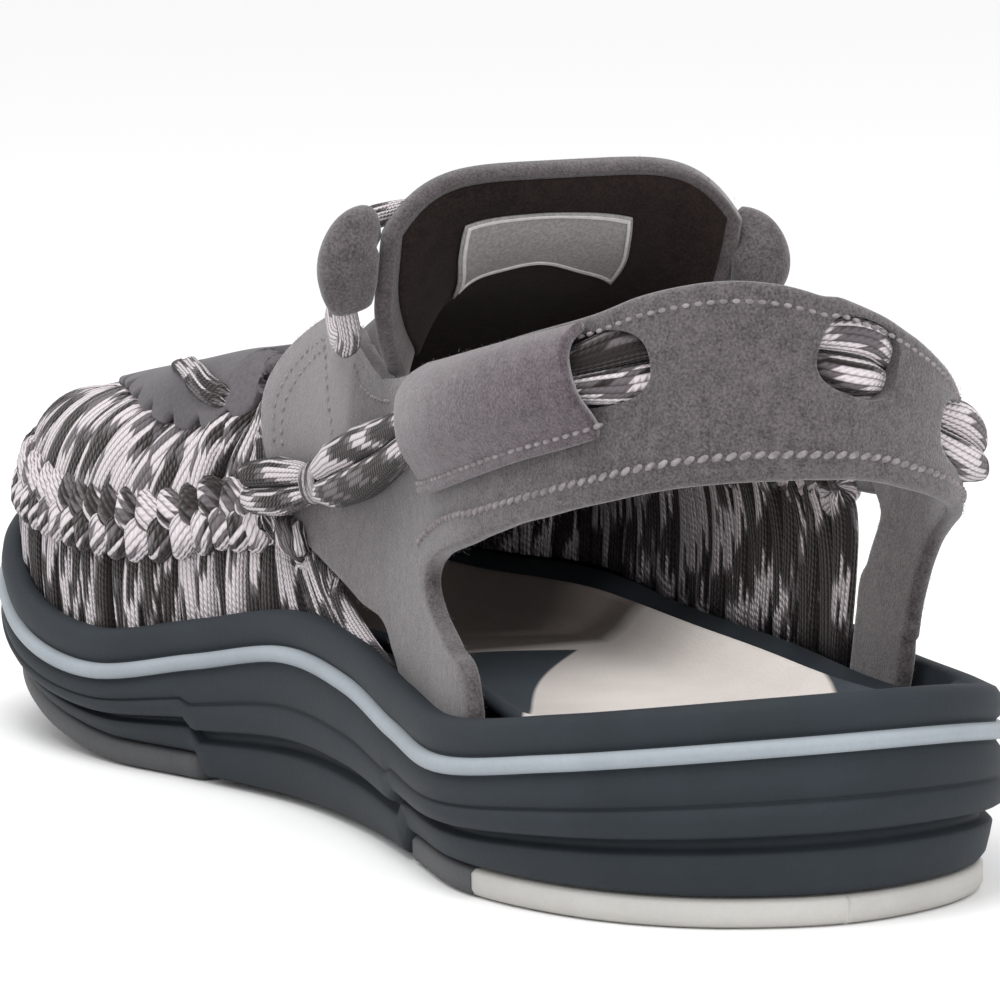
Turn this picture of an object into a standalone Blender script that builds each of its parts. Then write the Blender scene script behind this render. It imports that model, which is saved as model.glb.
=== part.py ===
"""Rope sandal, right shoe, as a maker puts it together: rubber outsoles, a foam midsole with a
raised rim, a footbed, a cage of woven cord over the forefoot, a vamp strip, a tongue, a suede heel
strap with its tunnel flaps, and the cords that the flaps and the tongue tabs hold.

Metres, +Z up, +X to the toe, +Y to the inner (medial) side of the foot. The origin is at the
middle of the sandal's box, on the floor."""

import bpy
import bmesh
import numpy as np
from mathutils import Matrix, Vector

# The driving sizes of the sandal
SHOE_LENGTH = 0.292
SHOE_WIDTH = 0.1022
SOLE_HEIGHT = 0.0350
FOOTBED_HEIGHT = 0.0210
INSTEP_HEIGHT = 0.0930
COLLAR_HEIGHT = 0.0930
TONGUE_HEIGHT = 0.1065
TOE_SPRING = 0.0150

# The sole
OUTSOLE_THICKNESS = 0.0045
OUTSOLE_INSET = 0.0035
ARCH_CLEARANCE = 0.0010
LUG_DEPTH = 0.0022
HEEL_RUBBER_LENGTH = 0.0530
HEEL_FRONT_LENGTH = 0.0330
FOREFOOT_RUBBER_START = 0.1780
STRIPE_WIDTH = 0.0024
STRIPE_DROP = 0.0058
LIP_WIDTH = 0.0045
GROOVE_WIDTH = 0.0050
GROOVE_DEPTH = 0.0070
FOOTBED_THICKNESS = 0.0025
FOOTBED_INSET = 0.0150
FOOTBED_SLOPE = 0.0080
CUP_SHARE = 0.70
RUBBER_END_GAP = 0.0018

# The upper
CORD_WALL = 0.0022
CORD_RELIEF = 0.0012
STRAND_COUNT = 46
STRAP_THICKNESS = 0.0028
STRIP_THICKNESS = 0.0018
TONGUE_THICKNESS = 0.0030
FLAP_THICKNESS = 0.0016
FLAP_HEIGHT = 0.0145
CORD_DIAMETER = 0.0036
WINDOW_HEIGHT = 0.0100
TAB_REACH = 0.0040
TAB_LEG = -0.0012
PANEL_THICKNESS = 0.0024
STRIP_DROP = 0.0022
ARCH_POWER = 0.66
TONGUE_ARCH = 3.4
CORD_POINTS = 50
INSTEP_POINTS = 36
CHANNEL_WIDTH = 0.0042
CHANNEL_DRAFT = 0.0008
# Shares of each rubber plate's length: its plain stations, and the middles of its channels.
HEEL_STATIONS = (0, 0.028, 0.113, 0.264, 0.528, 0.774, 1)
HEEL_CHANNELS = (0.387, 0.660)
HEEL_FRONT_CHANNELS = (0.5,)
FOREFOOT_STATIONS = (0, 0.123, 0.509, 0.684, 0.825, 0.921, 0.978, 1)
FOREFOOT_CHANNELS = (0.246, 0.404, 0.596, 0.763)

# Clearances between pieces that touch
GAP = 0.0003
FOOTBED_LIFT = 0.0006

# The floor plan of the rim. Length is a share of SHOE_LENGTH, the half widths are shares of
# SHOE_WIDTH, the rim heights are shares of SOLE_HEIGHT.
PLAN_COLUMNS = ("length", "medial", "lateral")
PLAN = np.array([
    (0.02, 0.186, 0.196),
    (0.06, 0.308, 0.326),
    (0.12, 0.387, 0.396),
    (0.20, 0.422, 0.403),
    (0.30, 0.378, 0.417),
    (0.40, 0.337, 0.439),
    (0.50, 0.328, 0.478),
    (0.60, 0.372, 0.524),
    (0.70, 0.438, 0.552),
    (0.80, 0.448, 0.519),
    (0.88, 0.404, 0.431),
    (0.94, 0.321, 0.313),
    (0.98, 0.215, 0.176),
])
TOE_OFFSET = 0.03

RIM_COLUMNS = ("length", "medial", "lateral")
RIM = np.array([
    (0.00, 1.00, 1.00),
    (0.10, 0.88, 0.87),
    (0.20, 0.78, 0.89),
    (0.30, 0.81, 0.95),
    (0.40, 0.90, 0.95),
    (0.50, 0.93, 0.94),
    (0.60, 0.80, 0.97),
    (0.70, 0.67, 0.97),
    (0.80, 0.73, 0.94),
    (0.90, 0.94, 0.98),
    (1.00, 1.14, 1.14),
])

# Height of the footbed as a share of FOOTBED_HEIGHT, and of the tread as a share of TOE_SPRING.
FLOOR_COLUMNS = ("length", "footbed", "tread")
FLOOR = np.array([
    (0.00, 1.16, 0.00),
    (0.10, 1.02, 0.00),
    (0.20, 0.97, 0.00),
    (0.30, 0.96, 0.00),
    (0.40, 0.97, 0.00),
    (0.50, 0.95, 0.00),
    (0.60, 0.83, 0.00),
    (0.69, 0.71, 0.00),
    (0.75, 0.68, 0.10),
    (0.80, 0.70, 0.24),
    (0.90, 0.94, 0.62),
    (1.00, 1.36, 1.00),
])

# The side of the midsole from its base to the lip: how far a line lies below the rim, the share
# of the rest of the height, down to the base, that is added to it, and the inset from the plan.
SIDE_COLUMNS = ("drop", "share", "inset")
SIDE = np.array([
    (STRIPE_DROP + STRIPE_WIDTH + 0.0004, 1.00, 0.0046),
    (STRIPE_DROP + STRIPE_WIDTH + 0.0004, 0.93, 0.0032),
    (STRIPE_DROP + STRIPE_WIDTH + 0.0004, 0.66, 0.0024),
    (STRIPE_DROP + STRIPE_WIDTH + 0.0004, 0.61, 0.0036),
    (STRIPE_DROP + STRIPE_WIDTH + 0.0004, 0.55, 0.0036),
    (STRIPE_DROP + STRIPE_WIDTH + 0.0004, 0.50, 0.0012),
    (STRIPE_DROP + STRIPE_WIDTH + 0.0004, 0.22, 0.0003),
    (STRIPE_DROP + STRIPE_WIDTH + 0.0004, 0.00, 0.0012),
    (STRIPE_DROP + STRIPE_WIDTH, 0.0, 0.0000),
    (STRIPE_DROP, 0.0, 0.0000),
    (STRIPE_DROP - 0.0004, 0.0, 0.0014),
    (0.0012, 0.0, 0.0008),
    (0.0000, 0.0, 0.0020),
])

# Guide lines of the cord cage, from the rear of the inner side round the toe to the rear of the
# outer side. The foot is a length of the rim, the braid a share of the way up. Round is 0 for a
# straight way up and 1 for a full arch. The top is the upper edge's length, width and height as
# shares of SHOE_LENGTH, SHOE_WIDTH and INSTEP_HEIGHT.
CAGE_COLUMNS = ("turn", "foot", "side", "braid", "round", "top_length", "top_width", "top_height")
CAGE = np.array([
    (0.000, 0.357, 1, 0.88, 0.0, 0.536, 0.232, 0.476),
    (0.060, 0.428, 1, 0.78, 0.0, 0.558, 0.238, 0.552),
    (0.115, 0.480, 1, 0.68, 0.0, 0.568, 0.244, 0.638),
    (0.165, 0.530, 1, 0.60, 0.2, 0.574, 0.232, 0.715),
    (0.220, 0.592, 1, 0.53, 1.0, 0.602, 0.190, 0.742),
    (0.290, 0.690, 1, 0.48, 1.0, 0.680, 0.180, 0.704),
    (0.370, 0.800, 1, 0.46, 1.0, 0.770, 0.170, 0.657),
    (0.440, 0.905, 1, 0.45, 1.0, 0.832, 0.140, 0.617),
    (0.490, 0.975, 1, 0.45, 1.0, 0.860, 0.098, 0.597),
    (0.520, 0.998, -1, 0.45, 1.0, 0.866, 0.060, 0.593),
    (0.550, 0.975, -1, 0.45, 1.0, 0.858, 0.022, 0.597),
    (0.610, 0.905, -1, 0.46, 1.0, 0.826, -0.025, 0.619),
    (0.690, 0.800, -1, 0.47, 1.0, 0.765, -0.060, 0.659),
    (0.760, 0.700, -1, 0.49, 1.0, 0.680, -0.075, 0.706),
    (0.820, 0.620, -1, 0.51, 1.0, 0.610, -0.100, 0.737),
    (0.860, 0.565, -1, 0.53, 1.0, 0.582, -0.190, 0.742),
    (0.890, 0.525, -1, 0.55, 1.0, 0.572, -0.285, 0.715),
    (0.915, 0.480, -1, 0.57, 1.0, 0.540, -0.330, 0.680),
    (0.940, 0.430, -1, 0.60, 1.0, 0.465, -0.335, 0.660),
    (0.970, 0.345, -1, 0.62, 1.0, 0.350, -0.317, 0.653),
    (1.000, 0.252, -1, 0.64, 1.0, 0.244, -0.300, 0.648),
])

# Rows of the cage between foot and top: which part of the way up it lies on, its share of that
# part, and its relief as a share of CORD_RELIEF at a strand's edge and at its ridge.
CAGE_ROWS = (
    ("lower", 0.00, 0.0, 0.5),
    ("lower", 0.26, 0.0, 1.0),
    ("lower", 1.00, 0.6, 1.2),
    ("braid", 0.50, 1.6, 0.9),
    ("upper", 0.00, 0.6, 1.2),
    ("upper", 0.78, 0.0, 1.0),
    ("upper", 1.00, 0.0, 0.2),
)
BRAID_SHARE = 0.16
GAP_SHARE = 0.24
LEAST_GAP = 0.0009

# The heel strap from the foot of the inner arm round the heel to the foot of the outer arm, as
# pairs of edge points. Lengths are shares of SHOE_LENGTH, heights of COLLAR_HEIGHT; a height of
# zero means the floor of the groove in the midsole.
STRAP_COLUMNS = ("side", "front_length", "front_height", "rear_length", "rear_height")
STRAP = np.array([
    (1, 0.335, 0.000, 0.200, 0.000),
    (1, 0.364, 0.337, 0.203, 0.328),
    (1, 0.424, 0.397, 0.236, 0.389),
    (1, 0.479, 0.446, 0.272, 0.428),
    (1, 0.520, 0.502, 0.290, 0.469),
    (1, 0.545, 0.604, 0.284, 0.508),
    (1, 0.555, 0.705, 0.262, 0.538),
    (1, 0.542, 0.777, 0.240, 0.555),
    (1, 0.515, 0.834, 0.222, 0.568),
    (1, 0.485, 0.863, 0.205, 0.580),
    (1, 0.447, 0.839, 0.186, 0.596),
    (1, 0.414, 0.789, 0.166, 0.612),
    (1, 0.369, 0.790, 0.148, 0.628),
    (1, 0.281, 0.839, 0.125, 0.646),
    (1, 0.193, 0.883, 0.100, 0.669),
    (1, 0.130, 0.924, 0.078, 0.687),
    (1, 0.085, 0.957, 0.056, 0.704),
    (1, 0.055, 0.990, 0.038, 0.716),
    (1, 0.034, 1.008, 0.025, 0.722),
    (1, 0.018, 1.016, 0.014, 0.726),
    (1, 0.008, 1.012, 0.006, 0.727),
    (1, 0.002, 0.999, 0.0015, 0.727),
    (1, 0.000, 0.987, 0.000, 0.725),
    (-1, 0.002, 0.973, 0.0015, 0.722),
    (-1, 0.008, 0.948, 0.007, 0.712),
    (-1, 0.018, 0.912, 0.016, 0.695),
    (-1, 0.036, 0.865, 0.034, 0.671),
    (-1, 0.065, 0.810, 0.062, 0.641),
    (-1, 0.105, 0.774, 0.088, 0.615),
    (-1, 0.150, 0.757, 0.112, 0.592),
    (-1, 0.195, 0.745, 0.135, 0.560),
    (-1, 0.218, 0.705, 0.150, 0.515),
    (-1, 0.204, 0.640, 0.159, 0.470),
    (-1, 0.192, 0.575, 0.165, 0.430),
    (-1, 0.208, 0.490, 0.170, 0.385),
    (-1, 0.224, 0.400, 0.175, 0.345),
    (-1, 0.236, 0.000, 0.184, 0.000),
])

# The outer quarter panel, laid over the strap and the cage: its upper and lower edges.
PANEL_COLUMNS = ("upper_length", "upper_height", "lower_length", "lower_height")
PANEL = np.array([
    (0.203, 0.748, 0.206, 0.612),
    (0.240, 0.752, 0.245, 0.606),
    (0.290, 0.757, 0.300, 0.610),
    (0.350, 0.768, 0.360, 0.618),
    (0.400, 0.787, 0.410, 0.627),
    (0.440, 0.820, 0.450, 0.636),
    (0.480, 0.852, 0.485, 0.648),
    (0.515, 0.835, 0.510, 0.663),
    (0.540, 0.785, 0.530, 0.685),
    (0.550, 0.735, 0.545, 0.712),
])

# How the upper's side leans in above the rim: where the section would close at the top, as a
# share of INSTEP_HEIGHT, and the exponent of its arch; a higher one stands up straighter.
LEAN_COLUMNS = ("length", "crown", "exponent")
LEAN = np.array([
    (0.00, 2.10, 2.6),
    (0.15, 2.00, 2.6),
    (0.25, 1.60, 2.8),
    (0.35, 1.20, 3.2),
    (0.45, 1.02, 3.6),
    (0.55, 0.93, 3.2),
])

# The tongue from its front end to its top edge: length, height of the middle, half widths and
# how far the side edges drop, as shares of SHOE_LENGTH, TONGUE_HEIGHT, SHOE_WIDTH and
# TONGUE_HEIGHT.
TONGUE_COLUMNS = ("length", "height", "medial", "lateral", "drop")
TONGUE = np.array([
    (0.600, 0.634, 0.140, 0.080, 0.010),
    (0.570, 0.656, 0.165, 0.145, 0.030),
    (0.545, 0.690, 0.178, 0.200, 0.050),
    (0.515, 0.735, 0.185, 0.255, 0.070),
    (0.486, 0.774, 0.192, 0.285, 0.095),
    (0.455, 0.808, 0.192, 0.292, 0.125),
    (0.425, 0.840, 0.198, 0.296, 0.160),
    (0.400, 0.872, 0.224, 0.300, 0.180),
    (0.382, 0.908, 0.262, 0.302, 0.170),
    (0.370, 0.948, 0.284, 0.304, 0.150),
    (0.360, 0.984, 0.287, 0.304, 0.110),
    (0.355, 0.998, 0.288, 0.304, 0.085),
])

# The vamp strip along its middle: length, middle, half width and height, as shares of
# SHOE_LENGTH, SHOE_WIDTH, SHOE_WIDTH and INSTEP_HEIGHT.
STRIP_COLUMNS = ("length", "middle", "half_width", "height")
STRIP = np.array([
    (0.565, 0.035, 0.170, 0.802),
    (0.600, 0.045, 0.178, 0.777),
    (0.640, 0.050, 0.172, 0.760),
    (0.680, 0.052, 0.168, 0.745),
    (0.740, 0.054, 0.160, 0.712),
    (0.800, 0.057, 0.145, 0.674),
    (0.845, 0.060, 0.110, 0.645),
    (0.868, 0.060, 0.070, 0.631),
    (0.878, 0.060, 0.030, 0.624),
])

# The heel cord's way: side, length, height, and how far its middle lies outside the strap's
# middle, in cord seats: 1 on the outer face, -1 on the inner face, 0 in the window.
HEEL_CORD_COLUMNS = ("side", "length", "height", "seat")
HEEL_CORD = (
    (1, 0.552, 0.562, 1.45),
    (1, 0.510, 0.582, 1.20),
    (1, 0.462, 0.610, 1.10),
    (1, 0.407, 0.650, 1.05),
    (1, 0.345, 0.705, 1.02),
    (1, 0.281, 0.759, 1.00),
    (1, 0.193, 0.803, 1.00),
    (1, 0.140, 0.840, 1.00),
    (1, 0.112, 0.861, 1.00),
    (1, 0.098, 0.871, 0.80),
    (1, 0.080, 0.884, 0.00),
    (1, 0.063, 0.896, -0.80),
    (1, 0.052, 0.904, -1.02),
    (1, 0.030, 0.917, -1.05),
    (1, 0.008, 0.922, -1.10),
    (-1, 0.000, 0.914, -0.95),
    (-1, 0.004, 0.899, -0.62),
    (-1, 0.010, 0.880, -0.85),
    (-1, 0.018, 0.856, -1.05),
    (-1, 0.030, 0.818, -1.05),
    (-1, 0.040, 0.790, -1.02),
    (-1, 0.050, 0.767, -0.80),
    (-1, 0.066, 0.737, 0.00),
    (-1, 0.084, 0.715, 0.80),
    (-1, 0.096, 0.704, 1.10),
    (-1, 0.118, 0.693, 1.02),
    (-1, 0.150, 0.685, 1.05),
    (-1, 0.176, 0.682, 1.22),
    (-1, 0.205, 0.680, 1.85),
    (-1, 0.235, 0.680, 1.90),
    (-1, 0.280, 0.683, 1.88),
    (-1, 0.340, 0.688, 1.88),
    (-1, 0.400, 0.690, 1.88),
    (-1, 0.460, 0.690, 1.88),
    (-1, 0.510, 0.680, 1.92),
)

# Openings in the strap that the heel cord passes: side and length of the middle, height of the
# middle as a share of COLLAR_HEIGHT, length along the strap, and slope.
WINDOW_COLUMNS = ("name", "side", "length", "height", "across", "slope")
WINDOWS = (
    ("slot_medial", 1, 0.080, 0.884, 0.0235, 10.0),
    ("window_rear", -1, 0.004, 0.898, 0.0160, -20.0),
    ("slot_lateral", -1, 0.066, 0.737, 0.0235, -20.0),
)

# The tunnel flaps over the heel cord: side, first and last length, and how many strap or panel
# walls they stand on beyond the first.
FLAPS = (
    ("flap_medial", 1, 0.075, 0.265, 0),
    ("flap_lateral", -1, 0.262, 0.400, 1),
)
# Share of the flap's height from its top edge, and share of its bulge.
FLAP_SECTION = ((0.0, 0.0), (0.10, 0.62), (0.20, 1.0), (0.80, 1.0), (0.90, 0.62), (1.0, 0.0))


# The tabs folded round the tongue's side edges: name, side, then length, width and height of the
# low and the high end of the edge inside the fold.
TAB_COLUMNS = ("name", "side", "low", "high")
TABS = (
    ("tab_medial", 1, (0.375, 0.279, 0.779), (0.360, 0.289, 0.873)),
    ("tab_lateral", -1, (0.375, -0.300, 0.779), (0.360, -0.305, 0.873)),
)

# The instep cord's way from the inner side over the front of the tongue to the outer side, as
# shares of SHOE_LENGTH, SHOE_WIDTH and TONGUE_HEIGHT.
INSTEP_CORD_COLUMNS = ("length", "width", "height")
INSTEP_CORD = np.array([
    (0.4658, 0.250, 0.775),
    (0.4384, 0.279, 0.756),
    (0.4110, 0.303, 0.738),
    (0.3904, 0.315, 0.741),
    (0.3781, 0.316, 0.761),
    (0.3750, 0.318, 0.779),
    (0.3673, 0.323, 0.826),
    (0.3596, 0.328, 0.873),
    (0.3568, 0.330, 0.892),
    (0.3575, 0.323, 0.922),
    (0.3664, 0.294, 0.946),
    (0.3836, 0.245, 0.950),
    (0.3911, 0.166, 0.945),
    (0.3932, 0.000, 0.943),
    (0.3911, -0.186, 0.945),
    (0.3836, -0.264, 0.950),
    (0.3664, -0.313, 0.946),
    (0.3575, -0.341, 0.922),
    (0.3568, -0.346, 0.892),
    (0.3596, -0.344, 0.873),
    (0.3673, -0.342, 0.826),
    (0.3750, -0.340, 0.779),
    (0.3781, -0.341, 0.761),
    (0.3904, -0.350, 0.741),
    (0.4110, -0.362, 0.738),
    (0.4384, -0.372, 0.756),
    (0.4658, -0.372, 0.779),
])


def smooth(at, places, values):
    """A cubic through the rows of a table, with the mean slope of its two sides at each row."""
    places = np.asarray(places, float)
    values = np.asarray(values, float)
    slopes = np.gradient(values, places)
    row = np.clip(np.searchsorted(places, at) - 1, 0, len(places) - 2)
    step = places[row + 1] - places[row]
    part = (at - places[row]) / step
    return (
        values[row] * (1 + 2 * part) * (1 - part) ** 2
        + values[row + 1] * part**2 * (3 - 2 * part)
        + step * part * (1 - part) * (slopes[row] * (1 - part) - slopes[row + 1] * part)
    )


def ease(at, start, end):
    """0 before start, 1 after end and smooth between them."""
    part = np.clip((at - start) / (end - start), 0, 1)
    return part * part * (3 - 2 * part)


def dense_plan(count=1440):
    """The plan's loop from the back of the heel along the inner side, as a closed smooth curve."""
    length, medial, lateral = PLAN.T
    x = np.concatenate([[0], length, [1], length[::-1], [0]]) * SHOE_LENGTH
    y = np.concatenate([[0], medial, [TOE_OFFSET], -lateral[::-1], [0]]) * SHOE_WIDTH
    walk = np.concatenate([[0], np.cumsum(np.hypot(np.diff(x), np.diff(y)) ** 0.5)])
    wrap = slice(-4, -1)
    walk_all = np.concatenate([walk[wrap] - walk[-1], walk, walk[1:4] + walk[-1]])
    at = np.linspace(0, walk[-1], count, endpoint=False)
    return np.stack([
        smooth(at, walk_all, np.concatenate([v[wrap], v, v[1:4]])) for v in (x, y)
    ], 1)


PLAN_LOOP = dense_plan()
PLAN_LOOP[:, 0] = (PLAN_LOOP[:, 0] - PLAN_LOOP[:, 0].min()) * SHOE_LENGTH / np.ptp(PLAN_LOOP[:, 0])
MIDDLE = np.array([SHOE_LENGTH / 2, (PLAN_LOOP[:, 1].max() + PLAN_LOOP[:, 1].min()) / 2])
HEEL_ROW = int(PLAN_LOOP[:, 0].argmin())
PLAN_LOOP = np.roll(PLAN_LOOP, -HEEL_ROW, 0)
TOE_ROW = int(PLAN_LOOP[:, 0].argmax())
PLAN_TANGENT = np.roll(PLAN_LOOP, -1, 0) - np.roll(PLAN_LOOP, 1, 0)
PLAN_TANGENT /= np.linalg.norm(PLAN_TANGENT, axis=1)[:, None]
PLAN_OUT = np.stack([-PLAN_TANGENT[:, 1], PLAN_TANGENT[:, 0]], 1)
PLAN_OUT *= np.sign((PLAN_OUT * (PLAN_LOOP - MIDDLE)).sum(1).mean())


def plan_point(length, side, inset):
    """The plan's point on one side at each length, moved inwards by inset along its normal."""
    length = np.atleast_1d(np.asarray(length, float)) * SHOE_LENGTH
    side = np.broadcast_to(side, length.shape)
    rows = np.arange(len(PLAN_LOOP) + 1) % len(PLAN_LOOP)
    medial = rows[: TOE_ROW + 1]
    lateral = rows[TOE_ROW:][::-1]
    result = np.zeros((len(length), 2))
    for sign, part in ((1, medial), (-1, lateral)):
        mask = side == sign
        where = np.interp(length[mask], PLAN_LOOP[part, 0], np.arange(len(part)))
        for axis in (0, 1):
            line = PLAN_LOOP[part, axis]
            out = PLAN_OUT[part, axis]
            steps = np.arange(len(part))
            result[mask, axis] = np.interp(where, steps, line)
            result[mask, axis] -= np.interp(where, steps, out) * np.broadcast_to(inset, length.shape)[mask]
    return result


def rim_height(length, side):
    """Height of the lip of the midsole above the floor."""
    medial = smooth(length, RIM[:, 0], RIM[:, 1])
    lateral = smooth(length, RIM[:, 0], RIM[:, 2])
    return np.where(side > 0, medial, lateral) * SOLE_HEIGHT


def footbed_height(length):
    return smooth(length, FLOOR[:, 0], FLOOR[:, 1]) * FOOTBED_HEIGHT


def tread_height(length):
    return np.maximum(smooth(length, FLOOR[:, 0], FLOOR[:, 2]), 0) * TOE_SPRING


def loop_stations(lengths):
    """Lengths and sides of a closed loop: heel, inner side, toe and outer side."""
    inner = np.asarray(lengths[1:-1])
    length = np.concatenate([lengths[:1], inner, lengths[-1:], inner[::-1]])
    side = np.concatenate([[1], np.ones(len(inner)), [1], -np.ones(len(inner))])
    return length, side


def to_frame(points):
    """From the plan's own corner to the middle of the sandal's box."""
    return points - np.array([MIDDLE[0], MIDDLE[1], 0])


def make_object(name, points, faces, material, collection, closed=True):
    """A mesh object from points in the plan's frame, its faces turned to point outwards."""
    mesh = bpy.data.meshes.new(name)
    mesh.from_pydata(to_frame(np.asarray(points, float)).tolist(), [], [list(map(int, f)) for f in faces])
    mesh.materials.append(material)
    work = bmesh.new()
    work.from_mesh(mesh)
    inside = Vector((0, 0, INSTEP_HEIGHT / 3))
    if closed:
        bmesh.ops.recalc_face_normals(work, faces=work.faces)
    elif sum(f.normal.dot(f.calc_center_median() - inside) * f.calc_area() for f in work.faces) < 0:
        bmesh.ops.reverse_faces(work, faces=work.faces)
    work.to_mesh(mesh)
    work.free()
    obj = bpy.data.objects.new(name, mesh)
    collection.objects.link(obj)
    mesh.shade_smooth()
    mesh.set_sharp_from_angle(angle=0.6)
    return obj


def loop_solid(loops, tips=(True, True)):
    """A closed body from a stack of equal loops. Each loop runs along the inner side and back on
    the outer side; the first and last are closed by rungs between the two sides. A tip is a
    single point at that end of the loop."""
    count = len(loops[0])
    points = np.concatenate(loops)
    faces = []
    for level in range(len(loops) - 1):
        low = level * count
        for i in range(count):
            j = (i + 1) % count
            faces.append((low + i, low + j, low + count + j, low + count + i))
    stations = (count + sum(tips)) // 2
    inner = np.arange(stations)
    outer = (count - inner) % count if tips[0] else count - 1 - inner
    for start in (0, (len(loops) - 1) * count):
        for i in range(stations - 1):
            rung = (inner[i], inner[i + 1], outer[i + 1], outer[i])
            faces.append(tuple(dict.fromkeys(start + int(k) for k in rung)))
    return points, faces


def loop_at(length, side, inset, height):
    """One loop of a sole piece, inset from the plan, at the heights given."""
    plan = plan_point(length, side, inset)
    return np.column_stack([plan, np.broadcast_to(height, len(plan))])


SIDE_STATIONS = np.array([
    0.0, 0.003, 0.011, 0.026, 0.05, 0.085, 0.13, 0.18, 0.235,
    0.2985, 0.3015, 0.35, 0.40, 0.45, 0.50, 0.55,
    0.605, 0.608, 0.65, 0.69, 0.73, 0.775, 0.82, 0.865, 0.905, 0.942, 0.970, 0.989, 0.998, 1.0,
])


def sole_stations():
    """Lengths where the sole has a section, with a close pair at each end of the arch."""
    lengths = SIDE_STATIONS.copy()
    lengths[9:11] = arch_start() + np.array([-1, 1]) * 0.0015
    lengths[16:18] = arch_end() + np.array([-1, 1]) * 0.0015
    return lengths


def arch_start():
    return (HEEL_RUBBER_LENGTH + GAP + HEEL_FRONT_LENGTH + RUBBER_END_GAP) / SHOE_LENGTH


def arch_end():
    return (FOREFOOT_RUBBER_START - RUBBER_END_GAP) / SHOE_LENGTH


def midsole(material, collection):
    """One loft: up the side with its stripe and band, over the lip, down the groove that takes
    the upper, and down the cup to the footbed."""
    length, side = loop_stations(sole_stations())
    rim = rim_height(length, side)
    over_rubber = OUTSOLE_THICKNESS + GAP
    in_arch = (length > arch_start()) & (length < arch_end())
    base = tread_height(length) + np.where(in_arch, ARCH_CLEARANCE, over_rubber)
    loops = []
    for drop, share, inset in SIDE:
        height = rim - drop - share * (rim - drop - base)
        loops.append(loop_at(length, side, inset, height))
    grooved = ease(length, 0.13, 0.16)
    floor = footbed_height(length)
    groove_floor = rim - 0.0006 - grooved * (GROOVE_DEPTH - 0.0006)
    inner_edge = LIP_WIDTH + GROOVE_WIDTH
    shoulder = floor + CUP_SHARE * (rim - floor)
    inner_floor = shoulder + grooved * (np.minimum(groove_floor, shoulder - 0.0004) - shoulder)
    loops.append(loop_at(length, side, LIP_WIDTH, rim))
    loops.append(loop_at(length, side, LIP_WIDTH + GAP, groove_floor))
    loops.append(loop_at(length, side, inner_edge, inner_floor - 0.0002))
    loops.append(loop_at(length, side, inner_edge + GAP, shoulder))
    loops.append(loop_at(length, side, FOOTBED_INSET + FOOTBED_SLOPE, floor))
    return make_object("midsole", *loop_solid(loops), material, collection)


def footbed(material, collection):
    """A thin lining sheet that lies in the cup of the midsole."""
    length, side = loop_stations(sole_stations())
    rim = rim_height(length, side)
    floor = footbed_height(length)
    inner_edge = LIP_WIDTH + GROOVE_WIDTH + GAP
    foot = FOOTBED_INSET + FOOTBED_SLOPE
    share = (foot - FOOTBED_INSET) / (foot - inner_edge)
    edge = floor + share * CUP_SHARE * (rim - floor) + 2 * FOOTBED_LIFT
    loops = [
        loop_at(length, side, foot, floor + FOOTBED_LIFT),
        loop_at(length, side, FOOTBED_INSET, edge),
        loop_at(length, side, FOOTBED_INSET + 0.0004, edge + 0.6 * FOOTBED_THICKNESS),
        loop_at(length, side, FOOTBED_INSET + 0.0016, edge + 0.9 * FOOTBED_THICKNESS),
        loop_at(length, side, foot, floor + FOOTBED_LIFT + FOOTBED_THICKNESS),
    ]
    return make_object("footbed", *loop_solid(loops), material, collection)


def outsole(name, stations, sunk, tips, material, collection):
    """A rubber plate under the midsole. Between a pair of sunk stations its tread is let in by
    LUG_DEPTH, which leaves the lugs standing."""
    stations = np.asarray(stations)
    keep = slice(1 if tips[0] else 0, len(stations) - 1 if tips[1] else None)
    length = np.concatenate([stations, stations[keep][::-1]])
    side = np.concatenate([np.ones(len(stations)), -np.ones(len(stations[keep]))])
    relief = np.interp(length, stations, sunk) * LUG_DEPTH
    tread = tread_height(length)
    loops = [
        loop_at(length, side, OUTSOLE_INSET + inset, tread + relief + share * (OUTSOLE_THICKNESS - relief))
        for share, inset in ((0.0, 0.0016), (0.3, 0.0), (0.85, 0.0), (1.0, 0.0006))
    ]
    return make_object(name, *loop_solid(loops, tips), material, collection)


def lugged(start, end, plain, channels):
    """Stations of an outsole from start to end: the plain ones, and four round each channel."""
    rows = [(start + share * (end - start), 0.0) for share in plain]
    for share in channels:
        place = start + share * (end - start)
        rows += [
            (place - CHANNEL_WIDTH / 2, 0.0),
            (place - CHANNEL_WIDTH / 2 + CHANNEL_DRAFT, 1.0),
            (place + CHANNEL_WIDTH / 2 - CHANNEL_DRAFT, 1.0),
            (place + CHANNEL_WIDTH / 2, 0.0),
        ]
    rows.sort()
    return np.array(rows)[:, 0] / SHOE_LENGTH, np.array(rows)[:, 1]


def wall_point(length, side, height, outwards=0.0):
    """A point of the upper's side: up from the groove, leaning in as the section closes."""
    length = np.atleast_1d(np.asarray(length, float))
    side = np.broadcast_to(side, length.shape)
    height = np.broadcast_to(height, length.shape)
    rim = rim_height(length, side)
    crown = smooth(length, LEAN[:, 0], LEAN[:, 1]) * INSTEP_HEIGHT
    power = smooth(length, LEAN[:, 0], LEAN[:, 2])
    rise = np.clip((height - rim) / (crown - rim), 0, 0.98)
    seat = LIP_WIDTH + GAP + GROOVE_WIDTH / 2
    half = np.abs(plan_point(length, side, seat)[:, 1])
    lean = half * (1 - (1 - rise**power) ** (1 / power))
    plan = plan_point(length, side, seat + lean - outwards)
    return np.column_stack([plan, height])


def groove_bottom(length, side):
    return rim_height(length, side) - GROOVE_DEPTH + GAP


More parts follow.
